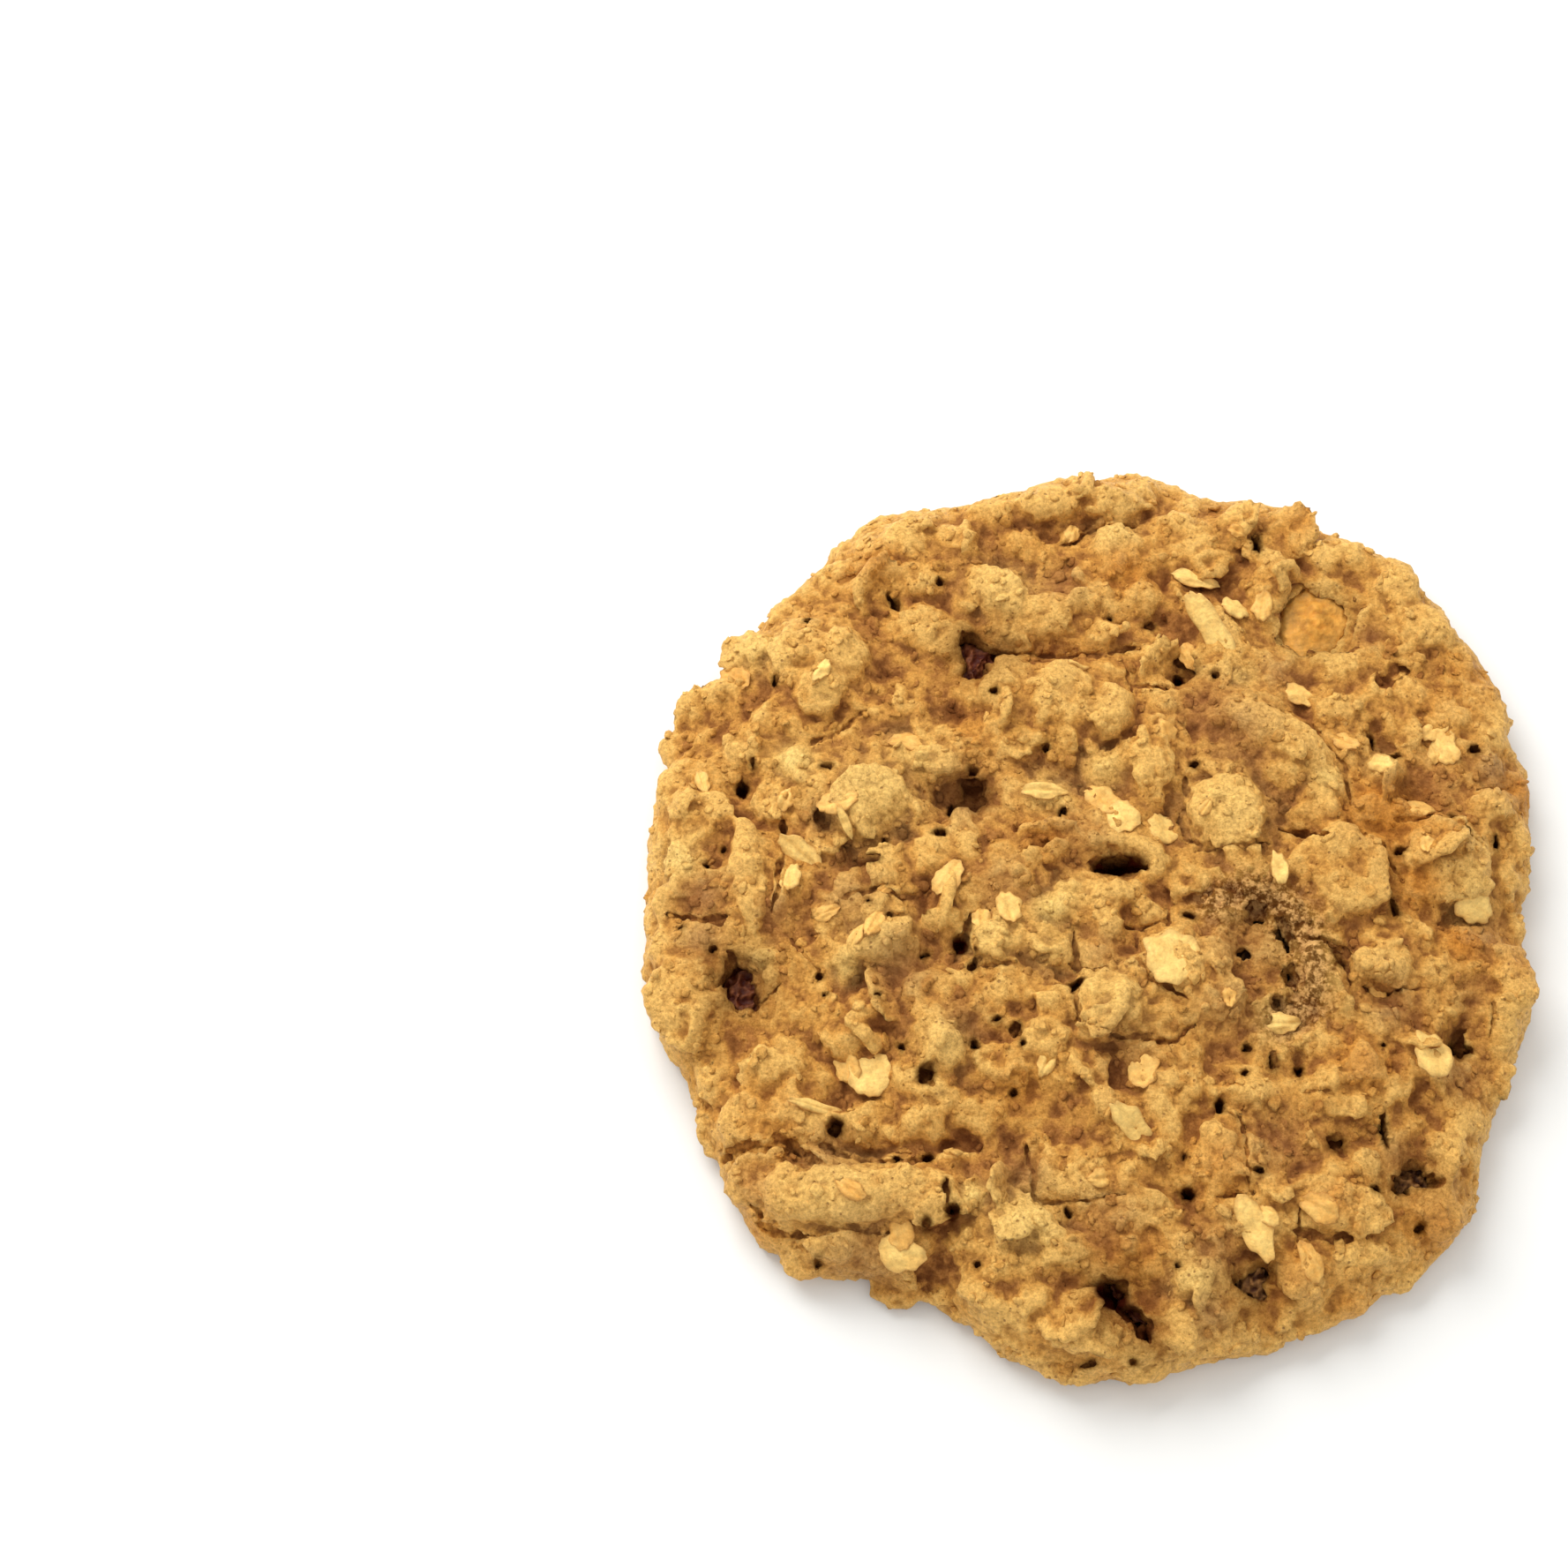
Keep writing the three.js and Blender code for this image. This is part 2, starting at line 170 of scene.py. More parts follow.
def placeCopy(shape, place, turn, lean, size, normal=Vector((0, 0, 1))):
    piece = copyPiece(shape, shape.name)
    tilt = Vector((0, 0, 1)).rotation_difference(normal).to_matrix().to_4x4()
    tilt = tilt @ Euler((*lean, 0)).to_matrix().to_4x4()
    matrix = Matrix.Translation(place) @ tilt @ Matrix.Rotation(math.radians(turn), 4, "Z")
    piece.data.transform(matrix @ Matrix.Diagonal(Vector((*size, 1))))
    return piece


def anywhere(dice, radius):              # a random place in a circle
    angle = dice.uniform(0, math.tau)
    reach = math.sqrt(dice.random()) * radius
    return reach * math.cos(angle), reach * math.sin(angle)


def aPair(dice, usual):                  # two random numbers round zero
    return dice.gauss(0, usual), dice.gauss(0, usual)


def gather(laid, shapes, name):          # one piece of all that was laid, without its patterns
    for shape in shapes:
        bpy.data.objects.remove(shape)
    joinInto(laid[0], laid[1:])
    laid[0].name = name
    shadeSmooth(laid[0])
    print(name, len(laid), len(laid[0].data.polygons))
    return laid[0]


def makeBall(detail, name):
    deselectAll()
    bpy.ops.mesh.primitive_ico_sphere_add(subdivisions=detail, radius=1.0, location=(0, 0, 0))
    bpy.context.object.name = name
    return bpy.context.object


# Balls of dough, each a bit different, that lumps, hollows and crumbs are made of. With a
# flatTop below 1 the top is flat and the side steep.
doughBall = {
    "shapes": 6,
    "lump": {"detail": 3, "wave": 0.11, "flatTop": 0.72},
    "pit": {"detail": 3, "wave": 0.42, "flatTop": 1.0},
    "crumb": {"detail": 2, "wave": 0.3, "flatTop": 0.9},
}


def makeBalls(kind):
    balls = []
    for index in range(doughBall["shapes"]):
        ball = makeBall(doughBall[kind]["detail"], f"{kind}Ball{index}")
        places = points(ball)
        seed = Vector((index * 11.3, 4.7, 0))
        swells = [noise.noise(Vector(p) * 1.3 + seed) + 0.5 * noise.noise(Vector(p) * 2.7 + seed)
                  for p in places]
        places[:, 2] = np.sign(places[:, 2]) * np.abs(places[:, 2]) ** doughBall[kind]["flatTop"]
        setPoints(ball, places * (1 + 2 * doughBall[kind]["wave"] * np.array(swells))[:, None])
        balls.append(ball)
    return balls


# A rolled oat, modelled once in a few shapes: a thin bent leaf with a crease and a torn rim.
oatFlake = {
    "length": 8.2 * mm,
    "width": 6.0 * mm,
    "thickness": 1.0 * mm,
    "shapes": 5,
    "detail": 4,
    "squareness": 0.55,     # below 1 the faces are flat and the edge steep
    "thinRim": 0.35,        # share of the thickness that the rim has lost
    "taper": 0.15,          # share of the width that the far end has lost
    "torn": 0.11,           # share of the reach
    "creaseWidth": 0.16,    # share of half the width
    "creaseDepth": 0.3 * mm,
    "bend": 0.22 * mm,
    "wave": 0.5 * mm,
}


def makeOatShapes(name):
    shapes = []
    for index in range(oatFlake["shapes"]):
        oat = makeBall(oatFlake["detail"], f"{name}{index}")
        places = points(oat)
        along, across, up = places[:, 0], places[:, 1], places[:, 2]
        reach = np.hypot(along, across)
        flat = np.sign(up) * np.abs(up) ** oatFlake["squareness"]
        crease = np.exp(-(across / oatFlake["creaseWidth"]) ** 2) * oatFlake["creaseDepth"] * (flat > 0)
        seed = Vector((index * 9.7, 2.2, 0))
        torn = np.array([noise.noise(Vector((p[0], p[1], 0)) * 2.6 + seed) for p in places])
        wave = np.array([noise.noise(Vector((p[0], p[1], 3.3)) * 1.4 + seed) for p in places])
        grow = 1 + torn * 2 * oatFlake["torn"] * reach
        bend = (-1) ** index * (0.4 + index % 3) * oatFlake["bend"]
        height = flat * oatFlake["thickness"] / 2 * (1 - oatFlake["thinRim"] * reach ** 3) - crease
        setPoints(oat, np.stack([
            along * grow * oatFlake["length"] / 2,
            across * grow * oatFlake["width"] / 2 * (1 - oatFlake["taper"] * along),
            height + bend * (along ** 2 - 0.4) + wave * oatFlake["wave"],
        ], 1))
        keepAttribute(oat, "rimShare", np.minimum(reach, 1))
        shapes.append(oat)
    return shapes


# The baked dough. All places are in millimetres from the cookie's middle, +Y away from the
# eater, and all turns in degrees from +X. A softening counts rounds of smoothing.
bakedDough = {
    "firstVoxel": 0.55 * mm,
    "firstSoftening": 10,
    "lumpVoxel": 0.35 * mm,
    "lumpSoftening": 8,
    "fineVoxel": 0.27 * mm,
    "fineSoftening": 3,
    "hollowVoxel": 0.16 * mm,
    "swells": (3.4 * mm, 0.8 * mm),          # the size of the waves and how far they go
    "flakyRidges": (2.0 * mm, -0.52 * mm),
    "crumb": (0.9 * mm, 0.75 * mm),
    "triangles": 186000,
    "seed": 7,
    "lumpSink": 0.15,       # share of its rise that a lump's middle lies under the dough
    "lumpRise": 0.84,       # share of the rise in the list
    "lumpLean": ((4, 4), (0, 5)),            # degrees about X and Y: usual, spread
    "plugSink": 0.6,        # how far a plug's middle lies under its raisin's top
    "plugSwell": 0.8,       # the most that the filling of a pocket is swollen
    "pocketGap": 0.05 * mm,
}

# Shares of the widths and depths in the lists of pits and cracks, and how they are cut.
hollow = {
    "pitWidth": 0.78,
    "pitDepth": 0.75,
    "deepPit": 3.5,         # from this depth on a pit keeps its whole width
    "crackWidth": 0.85,
    "crackDepth": 0.55,
    "crackStep": 0.5,
    "crackLength": 2.2,     # of each of the short cuts that make a crack
    "crackStrength": (0.25, 1.2),
    "wander": 0.7,          # how far a crack strays from its line, at most
    "wanderSeed": 4,
    "lean": 0.08,           # radians
}

# Oats and crumbs that the dough has coated, all over between the named lumps.
coated = {
    "reach": 45,
    "steepest": 0.5,        # upward share of the normal that they still stick to
    "oats": 165,
    "oatSize": (0.45, 0.95),
    "oatWidth": (0.75, 1.1),
    "oatThickness": (0.9, 1.4),
    "oatLift": (-0.42, -0.05),
    "oatLean": 0.13,        # radians
    "crumbs": 100,
    "crumbSize": (0.4, 1.0),
    "crumbLift": (-0.2, 0.2),                # share of the crumb's size
}

# x, y, length, width, turn, rise
lumps = [
    # back left
    (-41, 17, 6, 5.5, 60, 1), (-37.5, 21, 6, 4.5, 50, 1), (-34, 26, 5, 4, 45, 1.2),
    (-30, 31.3, 6, 4.6, 40, 1), (-25.5, 35, 6, 4.2, 35, 1.1), (-18, 38.6, 5.5, 5, 20, 1.3),
    (-22.5, 33, 4.2, 3.2, 10, 0.8), (-29.5, 25.5, 6.5, 5.5, 20, 1.3), (-24.8, 25.2, 5.5, 5, -20, 1.2),
    (-27, 21, 6, 4.5, 60, 1), (-31.5, 18.5, 5.5, 4.5, 20, 1), (-20, 25.5, 5, 4.5, 0, 0.9),
    (-17, 28.6, 5, 5.2, 30, 1), (-17.3, 34, 4.6, 3.8, -20, 0.9), (-13, 38.3, 5.2, 4.2, 15, 1),
    (-19.5, 20, 6, 4.5, 10, 1.1), (-15.5, 19.5, 4.5, 5, 0, 1),
    # back middle
    (-8.5, 32.2, 8, 4.5, -50, 1.3), (-9.5, 41.4, 6, 4, 12, 1.2), (-3.5, 42.7, 7, 4, 4, 1.3),
    (3.5, 42.6, 6.5, 3.6, -4, 1.1), (3.3, 36.8, 6.3, 7.2, 0, 1.8), (9.8, 40, 5, 3.6, -15, 1),
    (12.5, 36.6, 6.5, 4.5, -10, 1.2), (-2.5, 36.5, 4.5, 4, 20, 0.9), (-6, 37.6, 4, 4, 0, 0.9),
    (-4, 29.8, 6.5, 4, 10, 1.1), (1.8, 31, 5, 4.2, -10, 1), (0, 27.4, 9, 2.6, 0, 0.8),
    (6, 31.5, 4, 4.5, 0, 0.9), (-7.8, 20.8, 6.5, 7, -10, 1.4), (-3.2, 19.6, 7, 8, -15, 1.4),
    (1.8, 18.2, 5, 6.5, -20, 1.2), (2.5, 22.8, 5, 2.2, 0, 0.8), (6.5, 18.5, 5, 5.5, 10, 1),
    (5.5, 24.8, 4, 3, 10, 0.8), (-12.8, 15.8, 5.5, 4, 10, 1.3),
    # back right
    (19.5, 35.5, 3.2, 3, 0, 1.2), (22, 37.6, 3.4, 3.2, 0, 1.2), (24.8, 36.4, 3.4, 3.2, 0, 1.2),
    (21, 40, 4.8, 3.2, -20, 1), (16.2, 40.4, 4.5, 3.3, -10, 1), (28, 37.2, 4.4, 3.6, -30, 1),
    (32, 34.2, 6.6, 5, -35, 1.4), (33.8, 29, 7.5, 5.5, -20, 1.3), (37, 24, 5.2, 6, -60, 1),
    (40.6, 19.5, 4.2, 7.6, 10, 1), (36.3, 18.6, 4.5, 4.5, 0, 0.9), (32.5, 21, 5, 4, 10, 0.9),
    (28.5, 20, 5, 4, 0, 0.9), (31.5, 17.5, 4.5, 3.5, -10, 0.9), (24.5, 19.5, 4.5, 4, -30, 0.9),
    (24.5, 24, 5, 3.2, 0, 0.7), (29.8, 25, 4, 3.4, 20, 0.8),
    # left
    (-40.6, 12, 7.2, 6.2, 40, 1.4), (-38.5, 8, 6, 5, 0, 1.1), (-34.8, 16, 5, 4, 20, 1),
    (-29.8, 13.5, 3, 3, 0, 1.3), (-31.8, 9.5, 4.5, 4.5, 0, 1), (-22, 8.6, 9.2, 7.2, -10, 1.9),
    (-24, 13.7, 2.4, 4.5, 0, 1.2), (-21.6, 14, 2.2, 4.5, -5, 1.3), (-19.3, 13.6, 2.2, 4, 5, 1.1),
    (-15.5, 13.2, 5, 3.5, -20, 1), (-41.2, 3.4, 2.8, 4.4, 0, 1.2), (-42.6, -1, 3.2, 4.6, 0, 0.9),
    (-34.5, 1, 4, 13, 2, 1.6), (-30.5, -3, 3.2, 6, 10, 0.8), (-41.2, -11, 7.4, 8.3, 0, 1.6),
    (-43, -5.5, 2.8, 4.6, 0, 0.9), (-29.5, -12.6, 6.5, 4.6, -10, 1.3), (-32.8, -7, 3, 2.4, 0, 1),
    (-26.3, -3.8, 4, 7, 10, 1.2), (-21.6, -6, 8, 3.4, 25, 1.6), (-24.6, -8.4, 1.9, 2.6, 0, 1.1),
    (-19.4, -3, 5, 3.2, 0, 1), (-19.5, 1, 5, 3, -10, 1), (-17, -11, 5, 4, 0, 1.1),
    (-22.5, -13, 5, 4.5, 20, 1.1), (-36.5, -15, 5, 4.5, 0, 1),
    # middle
    (-13, 4.6, 3, 7.5, 0, 1.4), (-8.2, 11, 2.6, 7, -8, 1.3), (-7.6, 14.6, 5, 3, 0, 1.1),
    (-4.9, 9.5, 4.6, 2, 0, 1.2), (1, 12.2, 4.6, 4, -10, 1.4), (-3.5, 14.8, 4.5, 3, 10, 0.9),
    (5, 13.6, 5.5, 4.5, -10, 0.9), (5.5, 9.8, 4.5, 3, 0, 0.8), (-4.8, 5.6, 4, 3.4, 0, 1.1),
    (-8.5, 4, 4.5, 4, 10, 0.8), (-8.5, 0, 6, 4, -5, 0.8), (-3.5, 2.5, 5, 3, -10, 0.8),
    (13.2, 7.8, 8.5, 7, -25, 1.3), (10.3, 0.8, 4.6, 3.2, 0, 1.1), (14.6, 2, 5, 3.6, -15, 1),
    (-3.4, -2, 6, 3.2, 25, 1.3), (2.4, -0.9, 6, 2.6, 10, 0.9), (5, -2.8, 3.4, 2.6, -20, 1.1),
    (1, -4.4, 4, 3, 0, 0.9), (-10.5, -5.9, 5, 4.8, 0, 1.8), (-4.8, -6.8, 5, 4.4, -15, 1.5),
    (-0.1, -7.2, 3.9, 3.7, 0, 1.3), (1.2, -12.8, 7, 5.2, 5, 1.9), (-8, -10.5, 5, 4.2, -30, 1),
    (-4.5, -12.5, 4.5, 3.8, 20, 1), (12.3, -11.8, 5, 3.8, 30, 1.2), (5.5, -13.4, 4, 3, 0, 1),
    (11.2, -6.8, 3, 2.6, 0, 0.8), (-13.4, -1.2, 4.5, 3.5, 0, 0.8), (-14.5, -10.6, 4, 3, 30, 0.9),
    # right
    (19, 11.5, 5, 5, -45, 1.2), (29.4, 12.3, 4, 3.4, -15, 1.5), (29, 8, 8, 4.2, -4, 1.4),
    (33.4, 13.8, 5, 4, -20, 1), (36.6, 13, 4, 4.5, 0, 0.9), (40.2, 12.7, 3.6, 3.6, 0, 1.2),
    (43.1, 11.4, 2.4, 4.6, 0, 1), (39.8, 9, 4.6, 3.4, 0, 1.2), (42.8, 6, 2.6, 4.6, 0, 0.9),
    (24.3, 1.2, 9.6, 9, -35, 1.5), (18, 1.3, 1.8, 3.6, 10, 1), (35.2, 2.6, 9.5, 8.5, -40, 1.6),
    (32, 0, 4, 3.2, -10, 1.1), (41.2, 2, 2.8, 5.2, 10, 0.9), (41.8, -3, 2.8, 4.6, 0, 0.9),
    (35.6, -5.2, 4.4, 3.6, 15, 1.1), (30.8, -4.6, 5, 3.4, -15, 1), (28.4, -8.3, 7.8, 4, -3, 1.6),
    (33.6, -11.6, 4.8, 4, 20, 1.1), (22, -10, 4, 7.2, 25, 1.4), (41, -9.4, 4.8, 6.8, -5, 1.3),
    (37.2, -9, 3, 4, 0, 0.9), (27.6, -14.2, 6, 3.4, 0, 1.1), (21, 8, 4, 3, -30, 0.9),
    # front left
    (-31.5, -17.5, 6, 4.5, 20, 1), (-37.2, -19, 5.2, 5, -50, 1), (-34.8, -23, 6, 5, 60, 1.1),
    (-37.8, -24, 3.6, 5, 25, 0.9), (-30.5, -22.5, 4, 5, 0, 0.9), (-27, -19.2, 5, 4.4, 10, 1),
    (-28.5, -24.5, 3.6, 3, 20, 1), (-19.8, -19, 2.4, 2.4, 0, 1), (-21.5, -24, 7, 5, -5, 1.3),
    (-17.5, -24.3, 5, 4.5, 0, 1.1), (-24.5, -15.5, 5, 3.6, 10, 1), (-34.6, -29.6, 4.2, 4.2, 0, 1.3),
    (-33.8, -33.8, 4.6, 4, 10, 1.2), (-30, -30.7, 6.2, 6, 0, 2), (-29.6, -36.8, 4.2, 3, -35, 1.1),
    (-26.6, -38.6, 4.2, 2.4, 0, 1), (-26, -35.8, 6, 3.2, 0, 0.8), (-18, -34.6, 3.2, 3, 0, 1.1),
    # front middle
    (-15.3, -16.6, 4, 5.4, 0, 1.6), (-5.3, -16, 4.8, 4.4, 0, 1.5), (-10.5, -19, 4, 3, 0, 0.8),
    (2.2, -15.2, 5.2, 2.4, -5, 1.1), (-2.5, -19.5, 4.5, 3.5, 0, 0.8), (7.5, -18, 4.5, 3.5, 20, 1),
    (9.3, -21, 3.6, 4, 0, 0.9), (-0.2, -22.4, 3.6, 3, -35, 1.5), (5.8, -24, 3.4, 7, 18, 1.4),
    (-6, -23.5, 5, 4, 10, 0.9), (-11.5, -23.5, 5, 4, 0, 0.8), (10.6, -27.8, 5, 7, 0, 1.6),
    (-2.8, -28.8, 7.4, 5.2, -5, 1.6), (-11.3, -30, 4, 5, 0, 1), (2.6, -29.5, 3.4, 4, 0, 1),
    (5.4, -32.9, 4, 2.4, 0, 0.8), (-7.6, -33.8, 5.4, 4.4, -15, 1.5), (-12.8, -31.4, 2, 2, 0, 1.4),
    (-13.4, -35.6, 4, 2.6, 10, 1), (2.6, -36.6, 6.6, 5.8, 0, 1.6), (-3.8, -36.6, 5, 4, 0, 1.1),
    (8, -39.6, 4, 3.6, 0, 1.5), (-9.5, -38.6, 5, 3.6, -15, 1.1), (-12, -40.8, 5, 2.4, -22, 1.2),
    (-16.8, -38.8, 5, 2.2, -28, 1.1), (-7.5, -41.3, 4, 2.4, 10, 1.1), (-3, -43.8, 7, 4.8, 0, 1.7),
    (6.4, -44, 4.2, 4.6, 15, 1.4), (11.5, -44.4, 6, 3.2, 18, 1.2), (3.4, -47.6, 5, 2.2, 5, 1),
    (-4, -47.6, 4.6, 2, -5, 0.9), (9.8, -35.2, 4.4, 3.4, -10, 0.9),
    # front right
    (25.2, -18.8, 4, 5, 0, 1.3), (21, -16.4, 4, 3.4, 0, 0.9), (31.2, -17.6, 4, 5, 15, 1.3),
    (28.4, -20.6, 4, 3.4, 0, 1), (13.8, -21.2, 6.4, 1.8, -3, 1.1), (22.5, -22.4, 5.5, 3.6, -10, 1.2),
    (19.4, -25.9, 2.6, 2.4, 0, 1.1), (29.4, -24, 4.4, 3.8, 20, 1.1), (32.8, -26.2, 4.2, 3.8, -40, 1),
    (36.3, -22, 4, 6, -8, 1), (25.2, -27.8, 3.2, 2.6, -20, 1.1), (21.8, -31.6, 8.5, 6.4, -15, 1.6),
    (32.4, -32.8, 4.2, 5, 10, 1.1), (24.2, -36.6, 4.6, 3.2, 0, 1.2), (17.8, -38.4, 3.8, 5.2, 0, 1.4),
    (27.6, -35.6, 4, 4, 0, 0.9), (28.6, -38.4, 4.2, 2.8, 35, 1), (23.4, -40.9, 3.5, 3.2, 20, 1.2),
    (19, -42.8, 4.5, 2.8, 10, 0.9), (16.2, -27.6, 4, 4, 0, 0.9),
]

# where the dough ran out at its foot: x, y, length, width, turn, height
footLumps = [
    (-18.8, -36.7, 8, 5.6, -24, 3), (-15.6, -37.7, 8, 6, -28, 3.2), (-12.2, -39.8, 8, 6.2, -30, 3.4),
]

# ridges and lips: width, rise, then the line they follow
ridges = [
    (4, 1.6, [(16, 17.4), (19.2, 16), (21.8, 13.6), (23.2, 10.6), (22.8, 8.2)]),
    (5.4, 1.9, [(-27, -31), (-22, -31.3), (-17.2, -31.4)]),
    (2, 1, [(19.6, 33.8), (22.5, 34.4), (25.4, 33.6), (28.4, 31)]),
    (3.4, 0.9, [(37, 27), (40.4, 23.6), (42.4, 20)]),
    (1.1, 1.2, [(-15.4, -27.4), (-12.4, -27.3), (-9.8, -27.6), (-9.6, -29)]),
    (0.9, 1.3, [(-30.2, -20), (-29.4, -22.8), (-27.2, -23.3), (-24.8, -23.1)]),
    (1.1, 0.9, [(-0.6, 4.3), (2.2, 4.4), (5, 3.9), (7.4, 2.6)]),
    (1.2, 0.8, [(-43, -8.4), (-40.6, -8.2), (-38.8, -9.8)]),
    (0.9, 1, [(-25, 7.4), (-24.6, 6), (-23.6, 4.8)]),
    (1, 1, [(26.4, 1.4), (26.2, -0.8), (27, -2.4), (27.8, -0.6), (27.4, 1)]),
    (1.2, 0.9, [(33, -15.8), (33.5, -17.6), (32.8, -19.6)]),
]

# x, y, length, width, turn, depth
pits = [
    (0.2, -40.7, 3.3, 2.7, -20, 4.4), (2.3, 2.1, 5.2, 1.8, 0, 4.6),
    (-35, 11.2, 1.7, 2.4, 0, 3), (-33.9, 13.4, 0.8, 1.8, 10, 1.4),
    (9.3, 22.7, 1.7, 1.7, 0, 3.2), (10.2, 24, 4, 2.8, -50, 1.3), (12.8, 22.6, 1, 0.9, 0, 2),
    (-11.9, 12.3, 1.5, 1.1, 0, 2.5), (-14, 8.6, 1.2, 2.2, 0, 2.6), (-11.8, 9.8, 5.2, 5.2, 0, 1.6),
    (-15.4, 5.4, 1.8, 1.4, 0, 2.2), (-13.5, -6, 2.1, 2.2, 0, 3), (-12.3, -8.4, 1.3, 1.8, -30, 1.6),
    (-2.4, -10.6, 2.4, 1.1, 30, 2.6), (-22.2, 2.4, 2.5, 1.1, 0, 2.6), (7.8, -31.1, 1.8, 1.7, 0, 2.8),
    (11.1, -22.6, 1.2, 1.8, 0, 2.6), (19, -18.9, 1.3, 1.9, -15, 2.6), (16.5, -18.3, 1.7, 3, 0, 1.4),
    (22.4, -26, 3, 2.8, 0, 1.7), (27, -24.6, 1, 5, 4, 2.2), (25.7, -30.6, 1.5, 1.3, 0, 2),
    (35, -16, 3.2, 3.2, 0, 2), (36.2, -16.1, 1.1, 1.1, 0, 2.6), (-14.8, -33, 1.8, 1.6, 0, 2.8),
    (-15.4, -31, 1.1, 3, 0, 1.4), (28.3, 15.9, 1.2, 2.4, 0, 1.8), (30.3, 14.1, 2.6, 0.9, 0, 1.8),
    (18, 38, 1.4, 3.8, 0, 2.2), (38.8, 15, 1.7, 1.5, 0, 2), (35.8, 7.3, 1.6, 0.9, -20, 2),
    (37, 5.6, 0.9, 1.1, 0, 1.5), (40.2, 5.2, 0.9, 2.5, 0, 2), (30.3, 3.6, 1.6, 1.2, 20, 2),
    (23.4, -7.6, 1.9, 3.2, 25, 2), (29.4, -2, 1, 3.4, 15, 1.5), (-25.8, -24.3, 2.1, 2.3, 0, 2.2),
    (-17.1, -19.6, 2.4, 2.8, 0, 2.2), (-19.4, -16.6, 1, 1, 0, 1.8), (-17, -27.3, 1.5, 1.1, 0, 2.4),
    (-20, -27.6, 1, 1.3, 0, 1.6), (-17.3, -34.2, 1.3, 1.3, 0, 2), (-8.7, -21.2, 1.1, 1, 0, 2),
    (-12.3, -16.5, 1.3, 1.7, 0, 1.8), (-7.8, -16.7, 0.8, 1, 0, 1.6), (-10.2, -14, 1.1, 0.9, 0, 2),
    (-8.3, -15, 1.6, 1.9, 0, 1.4), (14.5, -29.2, 1.4, 1.1, -20, 2.2), (7.5, -27.7, 0.7, 1.1, 0, 1.5),
    (-3.7, -32.7, 0.8, 1.4, 30, 1.8), (14, -16.7, 1.4, 1.2, 0, 2), (13.7, -19.3, 1, 0.9, 0, 1.6),
    (2.7, -19.3, 1, 0.7, 0, 1.4), (-4.6, 14.3, 1, 0.9, 0, 2.2), (-3.2, 7.3, 1, 1.9, -15, 2.2),
    (10.2, 12.6, 1.3, 1.2, 0, 1.8), (9, -3.3, 2.1, 0.9, -25, 2), (-31.7, 22.5, 0.9, 1.4, 0, 1.8),
    (-28.4, 29.2, 1.1, 1, 0, 1.8), (-19.5, 31.5, 1.4, 2.9, 30, 2), (2.4, 29, 1, 0.8, 0, 1.6),
    (-9.7, 20, 1.2, 1.2, 0, 2), (-14.8, 33.7, 1.1, 1.1, 0, 1.6), (6.5, 28.5, 2.1, 1.7, 0, 1.2),
    (-41, -3.7, 1, 0.9, 0, 1.6), (-37.8, -6.2, 1.1, 1, 0, 1.6), (-36.8, 4.3, 0.8, 1.1, 0, 1.6),
    (-38.5, 2.7, 1.1, 0.8, -40, 1.6), (-27.3, -9.2, 1, 1, 0, 1.6), (-26.8, -11.2, 0.9, 0.9, 0, 1.4),
    (-21.8, -11.8, 0.9, 0.8, 0, 1.4), (-22.5, -2, 0.9, 0.8, 0, 1.3), (-20.4, -3.4, 1.1, 0.7, 0, 1.4),
    (-17, -3.1, 0.9, 0.8, 0, 1.3), (-20.8, 4.6, 1, 1.2, 0, 1.6), (-17, -7.2, 1.5, 0.9, 20, 2),
    (-27.6, -37, 0.9, 1.1, 0, 1.4), (30.2, -33.8, 1.3, 1.4, 0, 1.8), (27.3, -16.4, 0.9, 0.8, 0, 1.3),
    (-26.5, 12.7, 2.1, 1.1, 0, 1.6), (-2, -46.8, 2.4, 0.9, 5, 1.3), (2.2, -46.9, 1.1, 0.9, 0, 1.2),
    (-12.4, -37.8, 0.9, 1, 0, 1.4), (6.5, -38, 0.9, 1.1, 0, 1.3), (-27, 7, 2.2, 4, 12, 1),
]

